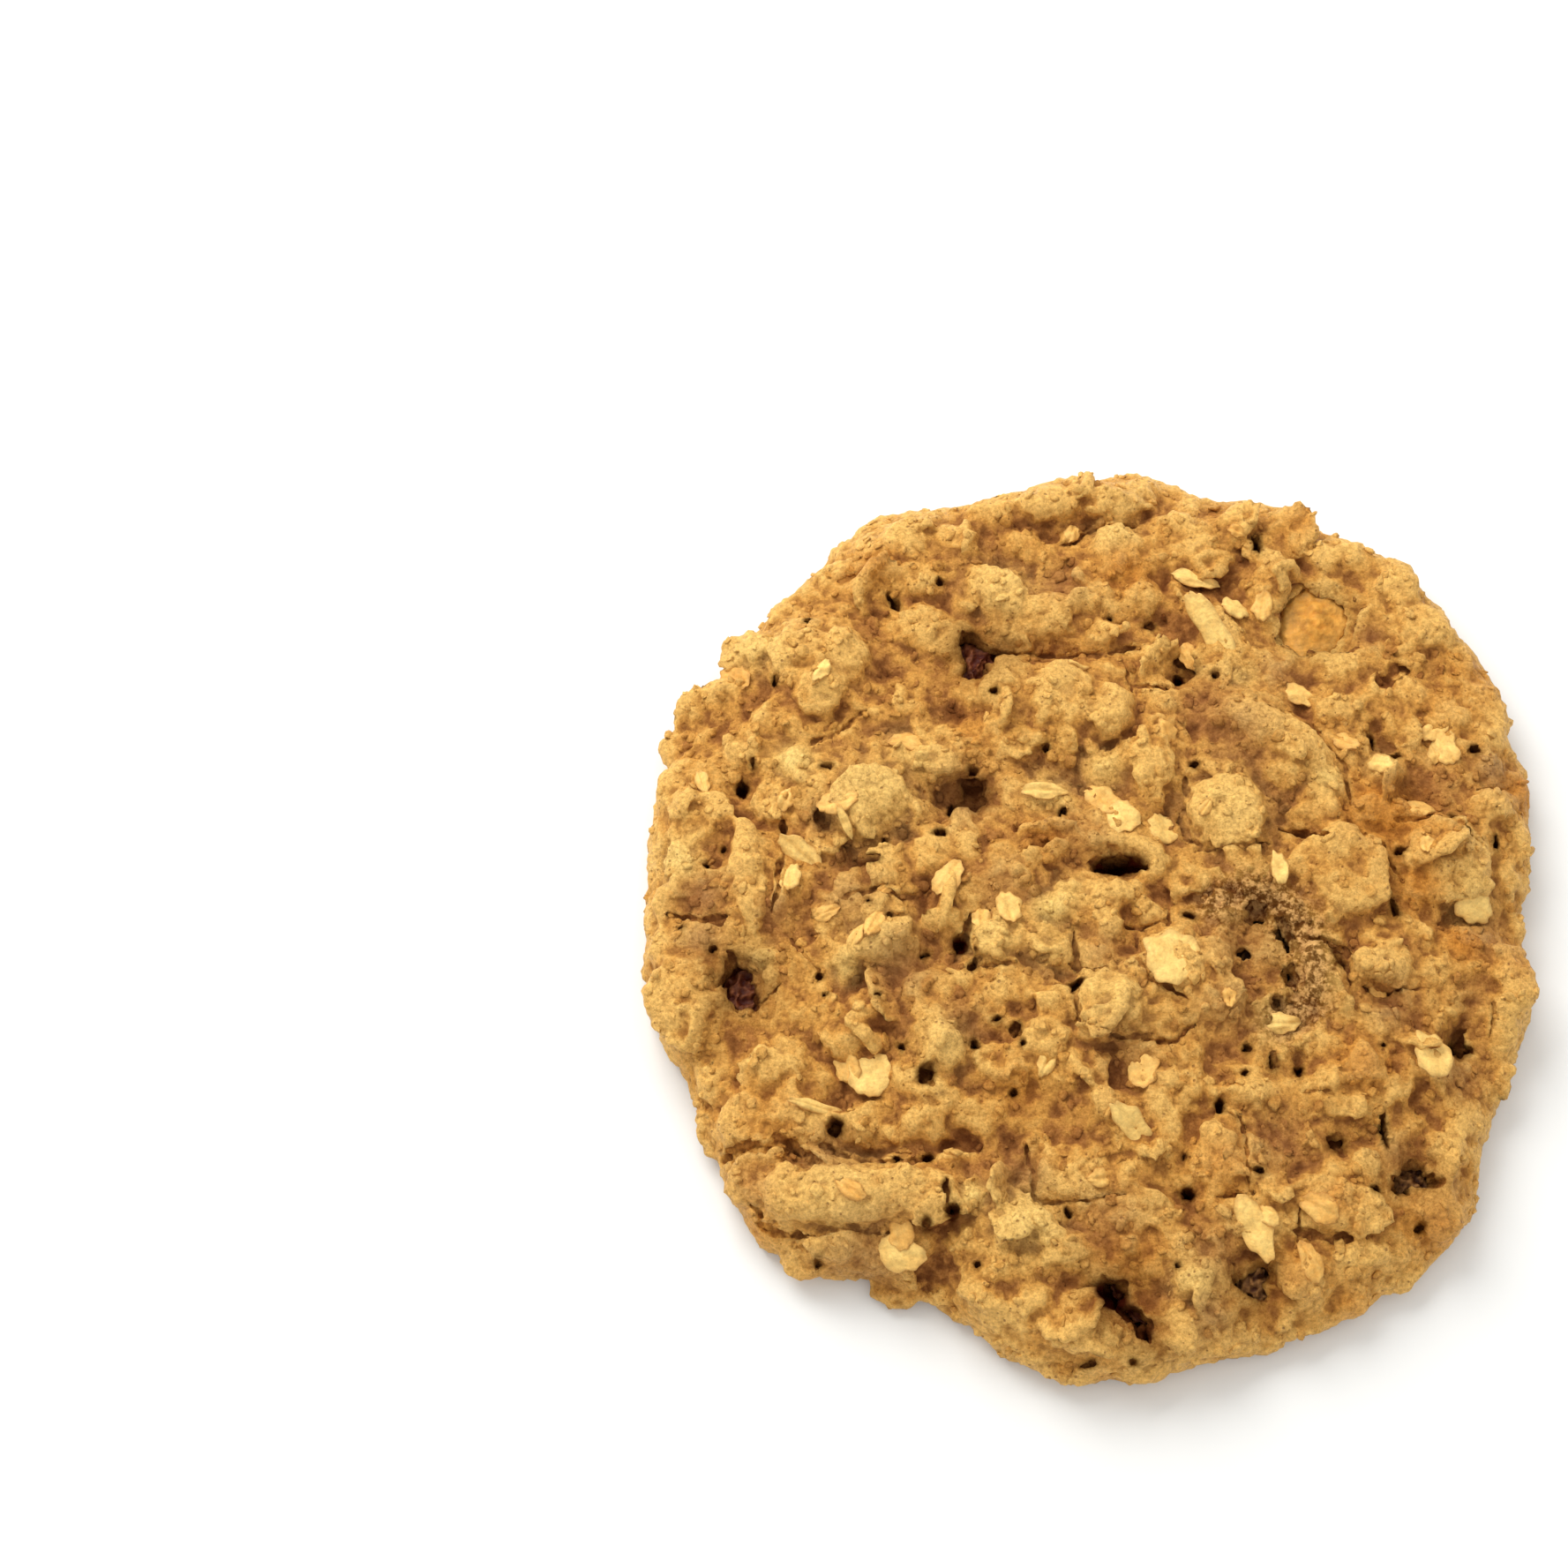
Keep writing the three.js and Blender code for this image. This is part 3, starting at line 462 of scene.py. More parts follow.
# width, depth, then the line that the crack follows
cracks = [
    (1.4, 1.5, [(-22.8, 18.8), (-25, 17.2), (-27.6, 15.8)]),
    (1, 1.1, [(-1.2, 38.6), (2, 40.4), (5.2, 40.6)]),
    (1, 1.1, [(-10, 25.4), (-4.5, 25.4), (1, 25.1), (4.6, 25.6)]),
    (1.4, 1.7, [(-36.4, -26.6), (-33, -26.3), (-31, -25.9), (-29, -27), (-27.2, -28.1)]),
    (1.1, 1.3, [(-26.5, -26.4), (-24, -27.4), (-21.5, -27.8), (-17, -27.6)]),
    (1, 1.3, [(-33.7, -31.8), (-32.9, -33.5), (-30.4, -34.5), (-26, -34.5), (-20, -34.3)]),
    (0.6, 1, [(25.6, -10.5), (28.5, -10.9), (31.3, -10.4)]),
    (1, 1.6, [(-31, 6.6), (-30.8, 4.2), (-31.3, 0.6), (-31.9, -2.6)]),
    (1.2, 1.3, [(-41.7, -2.2), (-39.2, -3), (-37, -2.8)]),
    (0.6, 0.9, [(-29.6, -5.5), (-28.8, -7), (-27.5, -8.2)]),
    (0.6, 0.9, [(-33, -12), (-31.6, -10.3)]),
    (0.9, 1.1, [(18.5, -34.8), (20.5, -35.3), (22.7, -35.2)]),
    (0.5, 1, [(18.6, -33.6), (18.5, -36.6)]),
    (0.6, 1.1, [(3.6, -4.4), (5.8, -4.2)]),
    (0.5, 0.8, [(6.8, -2.6), (6.6, -4.3)]),
    (0.9, 1.3, [(19, 5.6), (20.6, 5.3), (22.2, 4.6)]),
    (0.8, 1.3, [(5.2, -16.3), (7, -16), (8.2, -15.2)]),
    (0.6, 1, [(-7.3, -26.6), (-6.9, -29.5), (-6.6, -31.4), (-3, -31.9), (1.8, -31.6)]),
    (1, 0.9, [(-24.3, 34.6), (-21.5, 35.4)]),
    (1, 1.5, [(21.2, -6), (22.6, -6.1), (24, -6.9), (24.7, -9.7)]),
    (0.5, 0.8, [(13.2, -24.6), (13.3, -28), (13.1, -31.2), (9.6, -31.7)]),
    (0.7, 1, [(39.6, 10.8), (42, 11.3)]),
    (0.8, 1.2, [(38.7, -11.6), (38.5, -14.8)]),
    (0.5, 0.8, [(19.2, -21.4), (21.4, -21.2)]),
    (0.6, 0.9, [(-18.9, -2.2), (-21.4, -0.4), (-24.6, -1.6)]),
    (0.6, 1, [(7.4, 21.2), (4.4, 21), (3.2, 24.6)]),
    (0.7, 1, [(17.4, 18.8), (22.4, 16.6), (25.2, 12.6), (25.4, 8.4)]),
    (0.6, 0.9, [(25.4, 5.9), (28.4, 4.2), (29.9, 1.2)]),
    (0.6, 0.9, [(31, 6.9), (35.2, 7.2), (38.4, 4.2)]),
    (0.6, 0.9, [(9.3, 10.6), (9, 8), (9.4, 4.6), (11, 3.6), (16.8, 3.9)]),
    (0.7, 1, [(-12.9, -3.4), (-12.7, -5), (-11.6, -8.6), (-8.4, -8.6)]),
    (0.7, 1, [(-2.4, -5.4), (-2.3, -8.4), (-0.4, -9.4), (1.9, -8.6)]),
    (0.7, 1, [(-2.6, -10.8), (-2.4, -14.4), (0, -15.9), (4.4, -15.8)]),
    (0.6, 1, [(3.9, -5.8), (3.8, -8.4), (5.4, -10.6), (7.4, -11.7)]),
]

# Dark rubble of dough and raisin skin beside the middle raisin.
rubble = {
    "line": [(11.5, -2.2), (14.5, -0.8), (18, -1.8), (20.3, -4.6), (21, -8.6), (20.4, -12.2), (17.5, -14)],
    "width": 4.2,
    "step": 0.25,
    "size": (0.3, 0.65),
}

# The raisins: how they lie, the dough over them, and the torn mouths through which they show.
raisins = {
    # stain: how dark the halo round its mouths is, raisin stain and painted shade
    "raisin_left": {
        "skin": "dark", "turn": 80, "stain": 1, "plug": (5.4, 4.2), "cover": 1.4, "mouthDepth": 1.9,
        "mouth": [(-35.4, -9.4, 3.4, 4.8, 0), (-34.4, -10.8, 2.8, 3.4, 30)],
    },
    "raisin_back": {
        "skin": "dark", "turn": 70, "stain": 0.9, "plug": (7, 4.4), "cover": 0.9, "mouthDepth": 1.5,
        "mouth": [(-11.6, 26.3, 3, 4.2, 20), (-11.2, 23.8, 2.8, 3.6, 10), (-9.4, 25.4, 4, 1.6, 0)],
    },
    "raisin_near": {
        "skin": "dark", "turn": -60, "stain": 1, "plug": (6.8, 4.2), "cover": 1, "mouthDepth": 1.8,
        "mouth": [(0.2, -40.7, 3.8, 3.2, -20), (2, -42.3, 2.2, 3.4, 40), (3.2, -43.8, 1.8, 2.8, 20)],
    },
    "raisin_near_right": {
        "skin": "coated", "turn": -50, "stain": 0.55, "plug": (6.2, 4.6), "cover": 0.7, "mouthDepth": 1.5,
        "mouth": [(13.4, -39.8, 5, 2, -35), (14.6, -38.4, 3, 2.4, 20)],
    },
    "raisin_right": {
        "skin": "coated", "turn": 60, "stain": 0.6, "plug": (6.4, 4.4), "cover": 1, "mouthDepth": 1.5,
        "mouth": [(28.4, -30, 2.4, 1.8, 0), (29.6, -28.6, 3.6, 2.4, 40), (31, -29.6, 2.6, 1.8, 0)],
    },
    "raisin_amber": {
        "skin": "amber", "turn": 70, "stain": 0, "plug": (11, 9), "cover": -0.5, "mouthDepth": 0.8,
        "mouth": [(23.6, 29, 12.5, 9.5, 50)],
    },
    "raisin_middle": {
        "skin": "rubble", "turn": 75, "stain": 0.3, "plug": (11, 7.4), "cover": 0.5, "mouthDepth": 1,
        "mouth": [(15.6, -2.6, 3, 2, 0), (18.4, -5, 2, 3.4, 20), (18.8, -9.4, 1.6, 3.4, 0),
                  (17.4, -12.2, 2, 1.6, 0), (14.2, -7, 1.6, 1.2, 30)],
    },
}


def alongLine(line, step):
    spots = []
    for (x0, y0), (x1, y1) in zip(line, line[1:]):
        reach = math.hypot(x1 - x0, y1 - y0)
        count = max(1, round(reach / step))
        turn = math.degrees(math.atan2(y1 - y0, x1 - x0))
        for index in range(count):
            share = index / count
            spots.append((x0 + (x1 - x0) * share, y0 + (y1 - y0) * share, turn))
    spots.append((*line[-1], turn))
    return spots


def wander(x, y):                        # no crack runs quite straight
    shift = noise.noise_vector(Vector((x / 2.4, y / 2.4, 5.5)))
    return x + shift.x * hollow["wander"], y + shift.y * hollow["wander"]


def crackStrength(x, y):                 # nor is it as wide all along
    low, high = hollow["crackStrength"]
    return min(high, max(low, 0.7 + 1.1 * noise.noise(Vector((x / 1.7, y / 1.7, 1.5)))))


def placeLump(balls, dice, finder, x, y, length, width, turn, rise):
    hit, normal, _ = topPoint(finder, x, y)
    if hit is None:
        return []
    steep = (normal + Vector((0, 0, 1.2))).normalized()
    lean = [math.radians(dice.gauss(*angle)) for angle in bakedDough["lumpLean"]]
    rise *= bakedDough["lumpRise"]
    place = hit - steep * rise * bakedDough["lumpSink"] * mm
    size = (length / 2 * mm, width / 2 * mm, rise * mm)
    return [placeCopy(dice.choice(balls), place, turn, lean, size, steep)]


def placeCrumb(balls, dice, place, turn, size, normal):
    return placeCopy(dice.choice(balls), place, turn, (0, 0), (size, size * 0.8, size * 0.7), normal)


def coatedOats(shapes, balls, dice, finder):
    added = []
    for x, y, _ in alongLine(rubble["line"], rubble["step"]):
        dx, dy = aPair(dice, rubble["width"] / 3)
        size = dice.uniform(*rubble["size"]) * mm
        hit, normal, _ = topPoint(finder, x + dx, y + dy)
        if hit is not None:
            added.append(placeCrumb(balls, dice, hit, 0, size, normal))
    for index in range(coated["oats"] + coated["crumbs"]):
        hit, normal, _ = topPoint(finder, *anywhere(dice, coated["reach"]))
        turn = dice.uniform(0, 360)
        if hit is None or normal.z < coated["steepest"]:
            continue
        if index < coated["oats"]:
            share = dice.uniform(*coated["oatSize"])
            lean = aPair(dice, coated["oatLean"])
            place = hit + normal * dice.uniform(*coated["oatLift"]) * mm
            shape = dice.choice(shapes)
            size = (share, share * dice.uniform(*coated["oatWidth"]), dice.uniform(*coated["oatThickness"]))
            added.append(placeCopy(shape, place, turn, lean, size, normal))
        else:
            size = dice.uniform(*coated["crumbSize"]) * mm
            place = hit + normal * dice.uniform(*coated["crumbLift"]) * size
            added.append(placeCrumb(balls, dice, place, turn, size, normal))
    return added


def fillPockets(dough, balls):           # the raisins get new pockets later
    plugs = []
    for name, raisin in raisins.items():
        cover = raisin["cover"] + bakedDough["plugSink"]
        plug = copyNode(name, "plug")
        swell(plug, min(bakedDough["plugSwell"], cover) * mm)
        low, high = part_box(name)
        top = high[2] - bakedDough["plugSink"] * mm
        place = Vector(((low[0] + high[0]) / 2, (low[1] + high[1]) / 2, top))
        length, width = raisin["plug"]
        size = (length / 2 * mm, width / 2 * mm, cover * mm)
        plugs += [plug, placeCopy(balls[0], place, raisin["turn"], (0, 0), size)]
    joinInto(dough, plugs)


def addLumps(dough, balls, dice):
    finder = surfaceFinder(dough)
    added = []
    for spot in lumps:
        added += placeLump(balls, dice, finder, *spot)
    for width, rise, line in ridges:
        for x, y, turn in alongLine(line, width * 0.4):
            added += placeLump(balls, dice, finder, x, y, width * 1.3, width, turn, rise)
    for x, y, length, width, turn, height in footLumps:
        place = Vector((x, y, height / 2)) * mm
        size = (length / 2 * mm, width / 2 * mm, height / 2 * mm)
        added.append(placeCopy(balls[1], place, turn, (0, 0), size))
    joinInto(dough, added)


def hollowSpots(finder):
    noise.seed_set(hollow["wanderSeed"])     # without it the clock would move the cracks
    spots = []
    for x, y, length, width, turn, depth in pits:
        share = 1.0 if depth > hollow["deepPit"] else hollow["pitWidth"]
        spots.append((x, y, length * share, width * share, turn, depth * hollow["pitDepth"]))
    for width, depth, line in cracks:
        for x, y, turn in alongLine(line, hollow["crackStep"]):
            x, y = wander(x, y)
            strength = crackStrength(x, y)
            spots.append((x, y, hollow["crackLength"], width * strength * hollow["crackWidth"], turn,
                          depth * strength * hollow["crackDepth"]))
    for name, raisin in raisins.items():
        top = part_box(name)[1][2] / mm
        for mouth in raisin["mouth"]:
            crustTop = topPoint(finder, *mouth[:2])[0].z / mm
            spots.append((*mouth, max(raisin["mouthDepth"], crustTop - top + raisin["mouthDepth"] / 2)))
    return spots


def cutHollows(dough, balls, dice):
    finder = surfaceFinder(dough)
    cutters = []
    for x, y, length, width, turn, depth in hollowSpots(finder):
        hit, _, _ = topPoint(finder, x, y)
        if hit is None:
            continue
        size = (length / 2 * mm, width / 2 * mm, depth * mm)
        lean = aPair(dice, hollow["lean"])
        cutters.append(placeCopy(dice.choice(balls), hit, turn, lean, size))
    for name in raisins:
        pocket = copyNode(name, "pocket")
        swell(pocket, bakedDough["pocketGap"])
        cutters.append(pocket)
    cutter = cutters[0]
    joinInto(cutter, cutters[1:])
    fuse(cutter, bakedDough["hollowVoxel"])
    print("dough: hollows", len(cutters), len(cutter.data.polygons))
    applyModifier(dough, "BOOLEAN", object=cutter, operation="DIFFERENCE", solver="MANIFOLD")
    bpy.data.objects.remove(cutter)


def makeDough():
    balls, pitBalls, shapes = makeBalls("lump"), makeBalls("pit"), makeOatShapes("coatedOat")
    dough = copyNode("cookie", "bakedDough")
    fillPockets(dough, balls)
    fuse(dough, bakedDough["firstVoxel"], bakedDough["firstSoftening"])
    print("dough: plain body", len(dough.data.vertices))

    dice = random.Random(bakedDough["seed"])
    addLumps(dough, balls, dice)
    fuse(dough, bakedDough["lumpVoxel"], bakedDough["lumpSoftening"])
    pushOut(dough, "swells", *bakedDough["swells"], noise_depth=1)
    pushOut(dough, "flakyRidges", *bakedDough["flakyRidges"], 0.25, noise_type="HARD_NOISE", noise_depth=1)
    print("dough: lumps", len(dough.data.vertices))

    joinInto(dough, coatedOats(shapes, balls, dice, surfaceFinder(dough)))
    fuse(dough, bakedDough["fineVoxel"], bakedDough["fineSoftening"])
    print("dough: fused", len(dough.data.vertices))

    cutHollows(dough, pitBalls, dice)
    pushOut(dough, "crumb", *bakedDough["crumb"], noise_depth=3)
    share = bakedDough["triangles"] / sum(len(face.vertices) - 2 for face in dough.data.polygons)
    applyModifier(dough, "DECIMATE", ratio=min(1.0, share))
    print("dough: triangles", len(dough.data.polygons))
    for shape in balls + pitBalls + shapes:
        bpy.data.objects.remove(shape)

    places = points(dough)
    places[:, 2] = np.maximum(places[:, 2], 0)
    setPoints(dough, places)
    shadeSmooth(dough)
    return dough


# Where the crust is paler, more orange or duller than its height alone makes it: x, y, radius,
# strength. The cream spots are partly painted highlight on lit tops and the mauve ones partly
# painted shade in recesses; the orange ones are the crust's own colour.
tints = {
    # pale crust, partly painted highlight on lit tops
    "cream": [
        (-29.8, 13.5, 1.7, 1), (-41.3, 3.5, 1.8, 0.8), (-22, 9.5, 4.2, 0.5), (-33.5, 26, 2, 0.6),
        (-12.8, -31.3, 1.2, 1), (-7.8, -33.6, 3, 0.7), (-4.7, -2.8, 1.6, 1), (-3, -1, 1.5, 0.6),
        (-10.5, -5.5, 2.5, 0.5), (-4.8, -6.8, 2.5, 0.4), (8, -39.2, 2, 0.6), (0.5, -12, 3, 0.4),
        (1, 12.2, 2, 0.5), (17.6, -14, 1.8, 0.9), (23.4, 11, 1.6, 0.8), (29, 12.8, 1.5, 0.7),
        (-24.7, -8.6, 1.2, 0.8), (-22, -5, 3, 0.4), (37, -1.5, 2, 0.5), (-4.5, 9.6, 2, 0.7),
        (13, 8, 4, 0.4), (3.5, 39, 2, 0.5), (-15.3, -16.2, 2.2, 0.5), (-33.2, -7.3, 1.4, 0.6),
        (15.5, 22.5, 1.3, 0.6), (-25, -30.5, 4, 0.35), (-8.4, 32.4, 3, 0.4), (-18, 14, 3, 0.4),
    ],
    "orange": [
        (4, 35, 2.5, 0.8), (29, 8, 4, 0.8), (32, 0, 2, 0.8), (36, -5.3, 1.8, 1), (25, -18.5, 2.2, 0.8),
        (22.5, 40.5, 1.8, 0.6), (-21.5, 35.2, 2, 0.7), (41.5, -7.5, 1.8, 0.6), (43.4, 11.5, 2, 0.9),
        (31.5, -33.5, 2.4, 0.8), (33, -32, 3, 0.4), (-4.8, 5.6, 2, 0.6), (10.8, -28.5, 2.4, 0.7),
        (21.5, -32, 1.5, 0.8), (2.5, -37, 3, 0.4), (-34, -34, 2.4, 0.6), (-27.5, -39.4, 2, 0.6),
        (17.7, -38.6, 2, 0.6), (23.5, -41.3, 1.8, 0.5), (40, 23.5, 3, 0.5), (36.5, 20, 3, 0.3),
        (-8.5, -20.5, 2, 0.5), (-12, 16, 2, 0.4), (-33, -24, 4, 0.3),
    ],
    # duller crust, partly painted shade in recesses
    "mauve": [
        (-39, -0.5, 2.2, 0.9), (-39, -5, 2, 0.7), (-31.5, -2.5, 1.6, 0.7), (-27, 7, 1.6, 0.8),
        (-19.5, -8.6, 3, 0.8), (-8, -29, 2, 0.9), (28.5, -12.2, 2.2, 0.8), (40.3, 12.8, 1.9, 0.8),
        (38.5, -4.5, 2, 0.7), (10, -36.5, 2.4, 0.6), (-26.5, -26.8, 1.8, 0.8), (-23, -36.5, 3.5, 0.6),
        (-34, -29.5, 1.8, 0.5), (12, 19, 3, 0.6), (14.5, 16, 3, 0.6), (34.5, 11, 3, 0.5),
        (35, -19, 2, 0.6), (16.5, -26, 3, 0.6), (0, -33.5, 3, 0.5), (9.5, -42.5, 1.6, 0.7),
        (-13.5, -14, 2, 0.6), (2.5, -18, 3, 0.5), (-2.5, 33, 2, 0.7), (19.5, 23, 2, 0.6),
        (29, 27.5, 1.2, 0.7), (14.5, -6, 4, 0.5), (0, -7.2, 2, 0.5), (-1, 5, 3, 0.4),
        (-9.5, 0, 2.5, 0.5), (12.5, -13, 3, 0.5), (28.5, -27, 2, 0.6), (36.5, -11, 1.5, 0.5),
        (-24.5, -1, 3, 0.5), (-12.5, 9.5, 3, 0.7),
    ],
}


# How the marks fade out past their radius, and how the torn holes darken towards the inside with painted
# shade.
shading = {
    "foot": 2 * mm,         # no mark reaches below this
    "cavities": {"fineCavity": 3, "middleCavity": 16, "broadCavity": 120},
    "tintFade": 0.8,
    "rubbleFade": 1.0,
    "stainAndShadeFade": 0.9,
    "stainAndShadeReach": 1,        # past the mouth's rim
    "mouthDepth": 2.2,      # the depth that a fully stained and shaded mouth counts as
    "holeMargin": 0.12,
    "holeRim": 0.95,        # share of the hole's reach where its shade ends
    "deepRim": 1.2,
    "rimFade": 0.35,
    "holeFoot": 1.5 * mm,
}


def marks(x, y, spots, fade):
    total = np.zeros(len(x))
    for spotX, spotY, radius, strength in spots:
        away = np.hypot(x - spotX, y - spotY) / radius
        total = np.maximum(total, strength * np.exp(-away ** 2 * fade))
    return total


def holeShade(x, y, spotX, spotY, length, width, turn, depth):
    cosine, sine = math.cos(math.radians(turn)), math.sin(math.radians(turn))
    dx, dy = x - spotX, y - spotY
    margin = shading["holeMargin"]
    away = np.hypot((dx * cosine + dy * sine) / (length / 2 + margin),
                    (dy * cosine - dx * sine) / (width / 2 + margin))
    rim = shading["deepRim"] if depth > hollow["deepPit"] else shading["holeRim"]
    return np.clip((rim - away) / shading["rimFade"], 0, 1) * min(1, 0.25 + depth / 4)


def paintDough(dough):
    for name, rounds in shading["cavities"].items():
        keepCavity(dough, name, rounds)
    places = points(dough)
    x, y = places[:, 0] / mm, places[:, 1] / mm
    mouths = [(mouth, raisin["stain"]) for raisin in raisins.values() for mouth in raisin["mouth"]]
    spots = {name: (tint, shading["tintFade"]) for name, tint in tints.items()}
    spots["rubble"] = ([(lineX, lineY, rubble["width"] / 2, 1)
                        for lineX, lineY, _ in alongLine(rubble["line"], 0.5)], shading["rubbleFade"])
    # a darker halo round each raisin's mouth: the raisin's stain and painted shade at the rim of the hole
    spots["stain"] = ([(*mouth[:2], max(mouth[2:4]) / 2 + shading["stainAndShadeReach"], stain)
                       for mouth, stain in mouths], shading["stainAndShadeFade"])
    for name, (where, fade) in spots.items():
        keepAttribute(dough, name, marks(x, y, where, fade) * (places[:, 2] > shading["foot"]))
    # painted shade inside the holes and mouths, partly the torn dough's darker colour
    dark = np.zeros(len(places))
    for hole in pits + [(*mouth, shading["mouthDepth"] * stain) for mouth, stain in mouths]:
        dark = np.maximum(dark, holeShade(x, y, *hole))
    keepAttribute(dough, "pitShade", dark * (places[:, 2] > shading["holeFoot"]))
    print("dough: marks", len(spots), len(mouths))


def newMaterial(name):
    material = bpy.data.materials.new(name)
    material.use_nodes = True
    return material, material.node_tree, material.node_tree.nodes["Principled BSDF"]


def addNode(tree, kind, **values):       # in rows of ten from the upper left
    node = tree.nodes.new(kind)
    row, column = divmod(len(tree.nodes) - 3, 10)
    node.location = (200 * column - 2200, 600 - 300 * row)
    for key, value in values.items():
        setattr(node, key, value)
    return node


def seen(red, green, blue):              # a colour in 0-255 steps, made linear
    steps = [c / 255 for c in (red, green, blue)]
    return tuple(c / 12.92 if c <= 0.04045 else ((c + 0.055) / 1.055) ** 2.4 for c in steps) + (1.0,)


def setOrLink(tree, socket, value):
    if isinstance(value, (tuple, float, int)):
        socket.default_value = value
    else:
        tree.links.new(value, socket)


def coordinates(tree):
    return addNode(tree, "ShaderNodeTexCoord").outputs["Object"]


def kept(tree, name):
    return addNode(tree, "ShaderNodeAttribute", attribute_name=name).outputs["Fac"]


def mapRange(tree, source, low, high, toLow=0.0, toHigh=1.0):
    node = addNode(tree, "ShaderNodeMapRange")
    for name, value in (("From Min", low), ("From Max", high), ("To Min", toLow), ("To Max", toHigh)):
        node.inputs[name].default_value = value
    tree.links.new(source, node.inputs["Value"])
    return node.outputs["Result"]


def mixColour(tree, amount, first, second, blend="MIX"):
    node = addNode(tree, "ShaderNodeMix", data_type="RGBA", blend_type=blend)
    for index, value in ((0, amount), (6, first), (7, second)):
        setOrLink(tree, node.inputs[index], value)
    return node.outputs[2]


def mathNode(tree, operation, first, second):
    node = addNode(tree, "ShaderNodeMath", operation=operation)
    setOrLink(tree, node.inputs[0], first)
    setOrLink(tree, node.inputs[1], second)
    return node.outputs[0]


def noiseNode(tree, coords, size, detail, rough):
    node = addNode(tree, "ShaderNodeTexNoise")
    for name, value in (("Scale", 1 / size), ("Detail", detail), ("Roughness", rough)):
        node.inputs[name].default_value = value
    tree.links.new(coords, node.inputs["Vector"])
    return node.outputs["Fac"]


def rampNode(tree, amount, stops):
    node = addNode(tree, "ShaderNodeValToRGB")
    elements = node.color_ramp.elements
    elements.remove(elements[-1])
    elements[0].position, elements[0].color = stops[0]
    for place, colour in stops[1:]:
        elements.new(place).color = colour
    tree.links.new(amount, node.inputs["Fac"])
    return node.outputs["Color"]


def bumpNode(tree, shader, height, distance, strength=1.0):
    node = addNode(tree, "ShaderNodeBump")
    node.inputs["Strength"].default_value = strength
    node.inputs["Distance"].default_value = distance
    tree.links.new(height, node.inputs["Height"])
    tree.links.new(node.outputs["Normal"], shader.inputs["Normal"])


crust = {
    # high to deep: the crust from its crests to its hollows, painted highlight and painted shade, partly
    # its own tone
    "high": seen(242, 191, 102),
    "level": seen(216, 157, 74),
    "low": seen(176, 119, 62),
    "deep": seen(114, 66, 32),
    # pale crust, partly painted highlight
    "cream": seen(252, 216, 128),
    "orange": seen(206, 130, 38),
    # duller crust, partly painted shade
    "mauve": seen(154, 102, 60),
    "rubble": seen(92, 50, 22),
    "rubblePale": seen(214, 166, 106),
    # the raisins' stain, partly painted shade round their mouths
    "stain": seen(116, 64, 32),
    "under": seen(168, 112, 50),
    # painted shade inside the holes
    "pit": seen(60, 18, 6),
    "speck": seen(142, 82, 30),
    "grainHollowShade": (0.64, 0.55, 0.42, 1),      # what the grain's hollows multiply the colour by: painted shade
    "grainCrestHighlight": (1.32, 1.32, 1.32, 1),      # and its crests: painted highlight
    "tintShare": 0.85,
    # how much painted shade the fine creases get
    "creaseShadeShare": 0.35,
    "patchSize": 3.2 * mm,
    "patchShift": 0.2,
    "grainSize": 0.45 * mm,
    "clotSize": 0.9 * mm,
    "poreSize": 0.62 * mm,
    "poreShade": 0.65,
    "poreDepth": 0.35,      # share of the grain's height
    "footShade": 0.7,
    "bump": 0.38 * mm,
}


def poreAmount(tree, coords):            # a small round hole in some of the cells
    cells = addNode(tree, "ShaderNodeTexVoronoi")
    cells.inputs["Scale"].default_value = 1 / crust["poreSize"]
    tree.links.new(coords, cells.inputs["Vector"])
    draw = addNode(tree, "ShaderNodeSeparateColor")
    tree.links.new(cells.outputs["Color"], draw.inputs["Color"])
    radius = mapRange(tree, draw.outputs["Red"], 0.6, 1.0, 0.0, 0.3)
    inside = mathNode(tree, "SUBTRACT", radius, cells.outputs["Distance"])
    return mapRange(tree, inside, -0.02, 0.12)


def footAmount(tree, coords):            # browner where it lay on the tray
    place = addNode(tree, "ShaderNodeSeparateXYZ")
    tree.links.new(coords, place.inputs["Vector"])
    return mapRange(tree, place.outputs["Z"], 2.2 * mm, 0.2 * mm, 0.0, crust["footShade"])


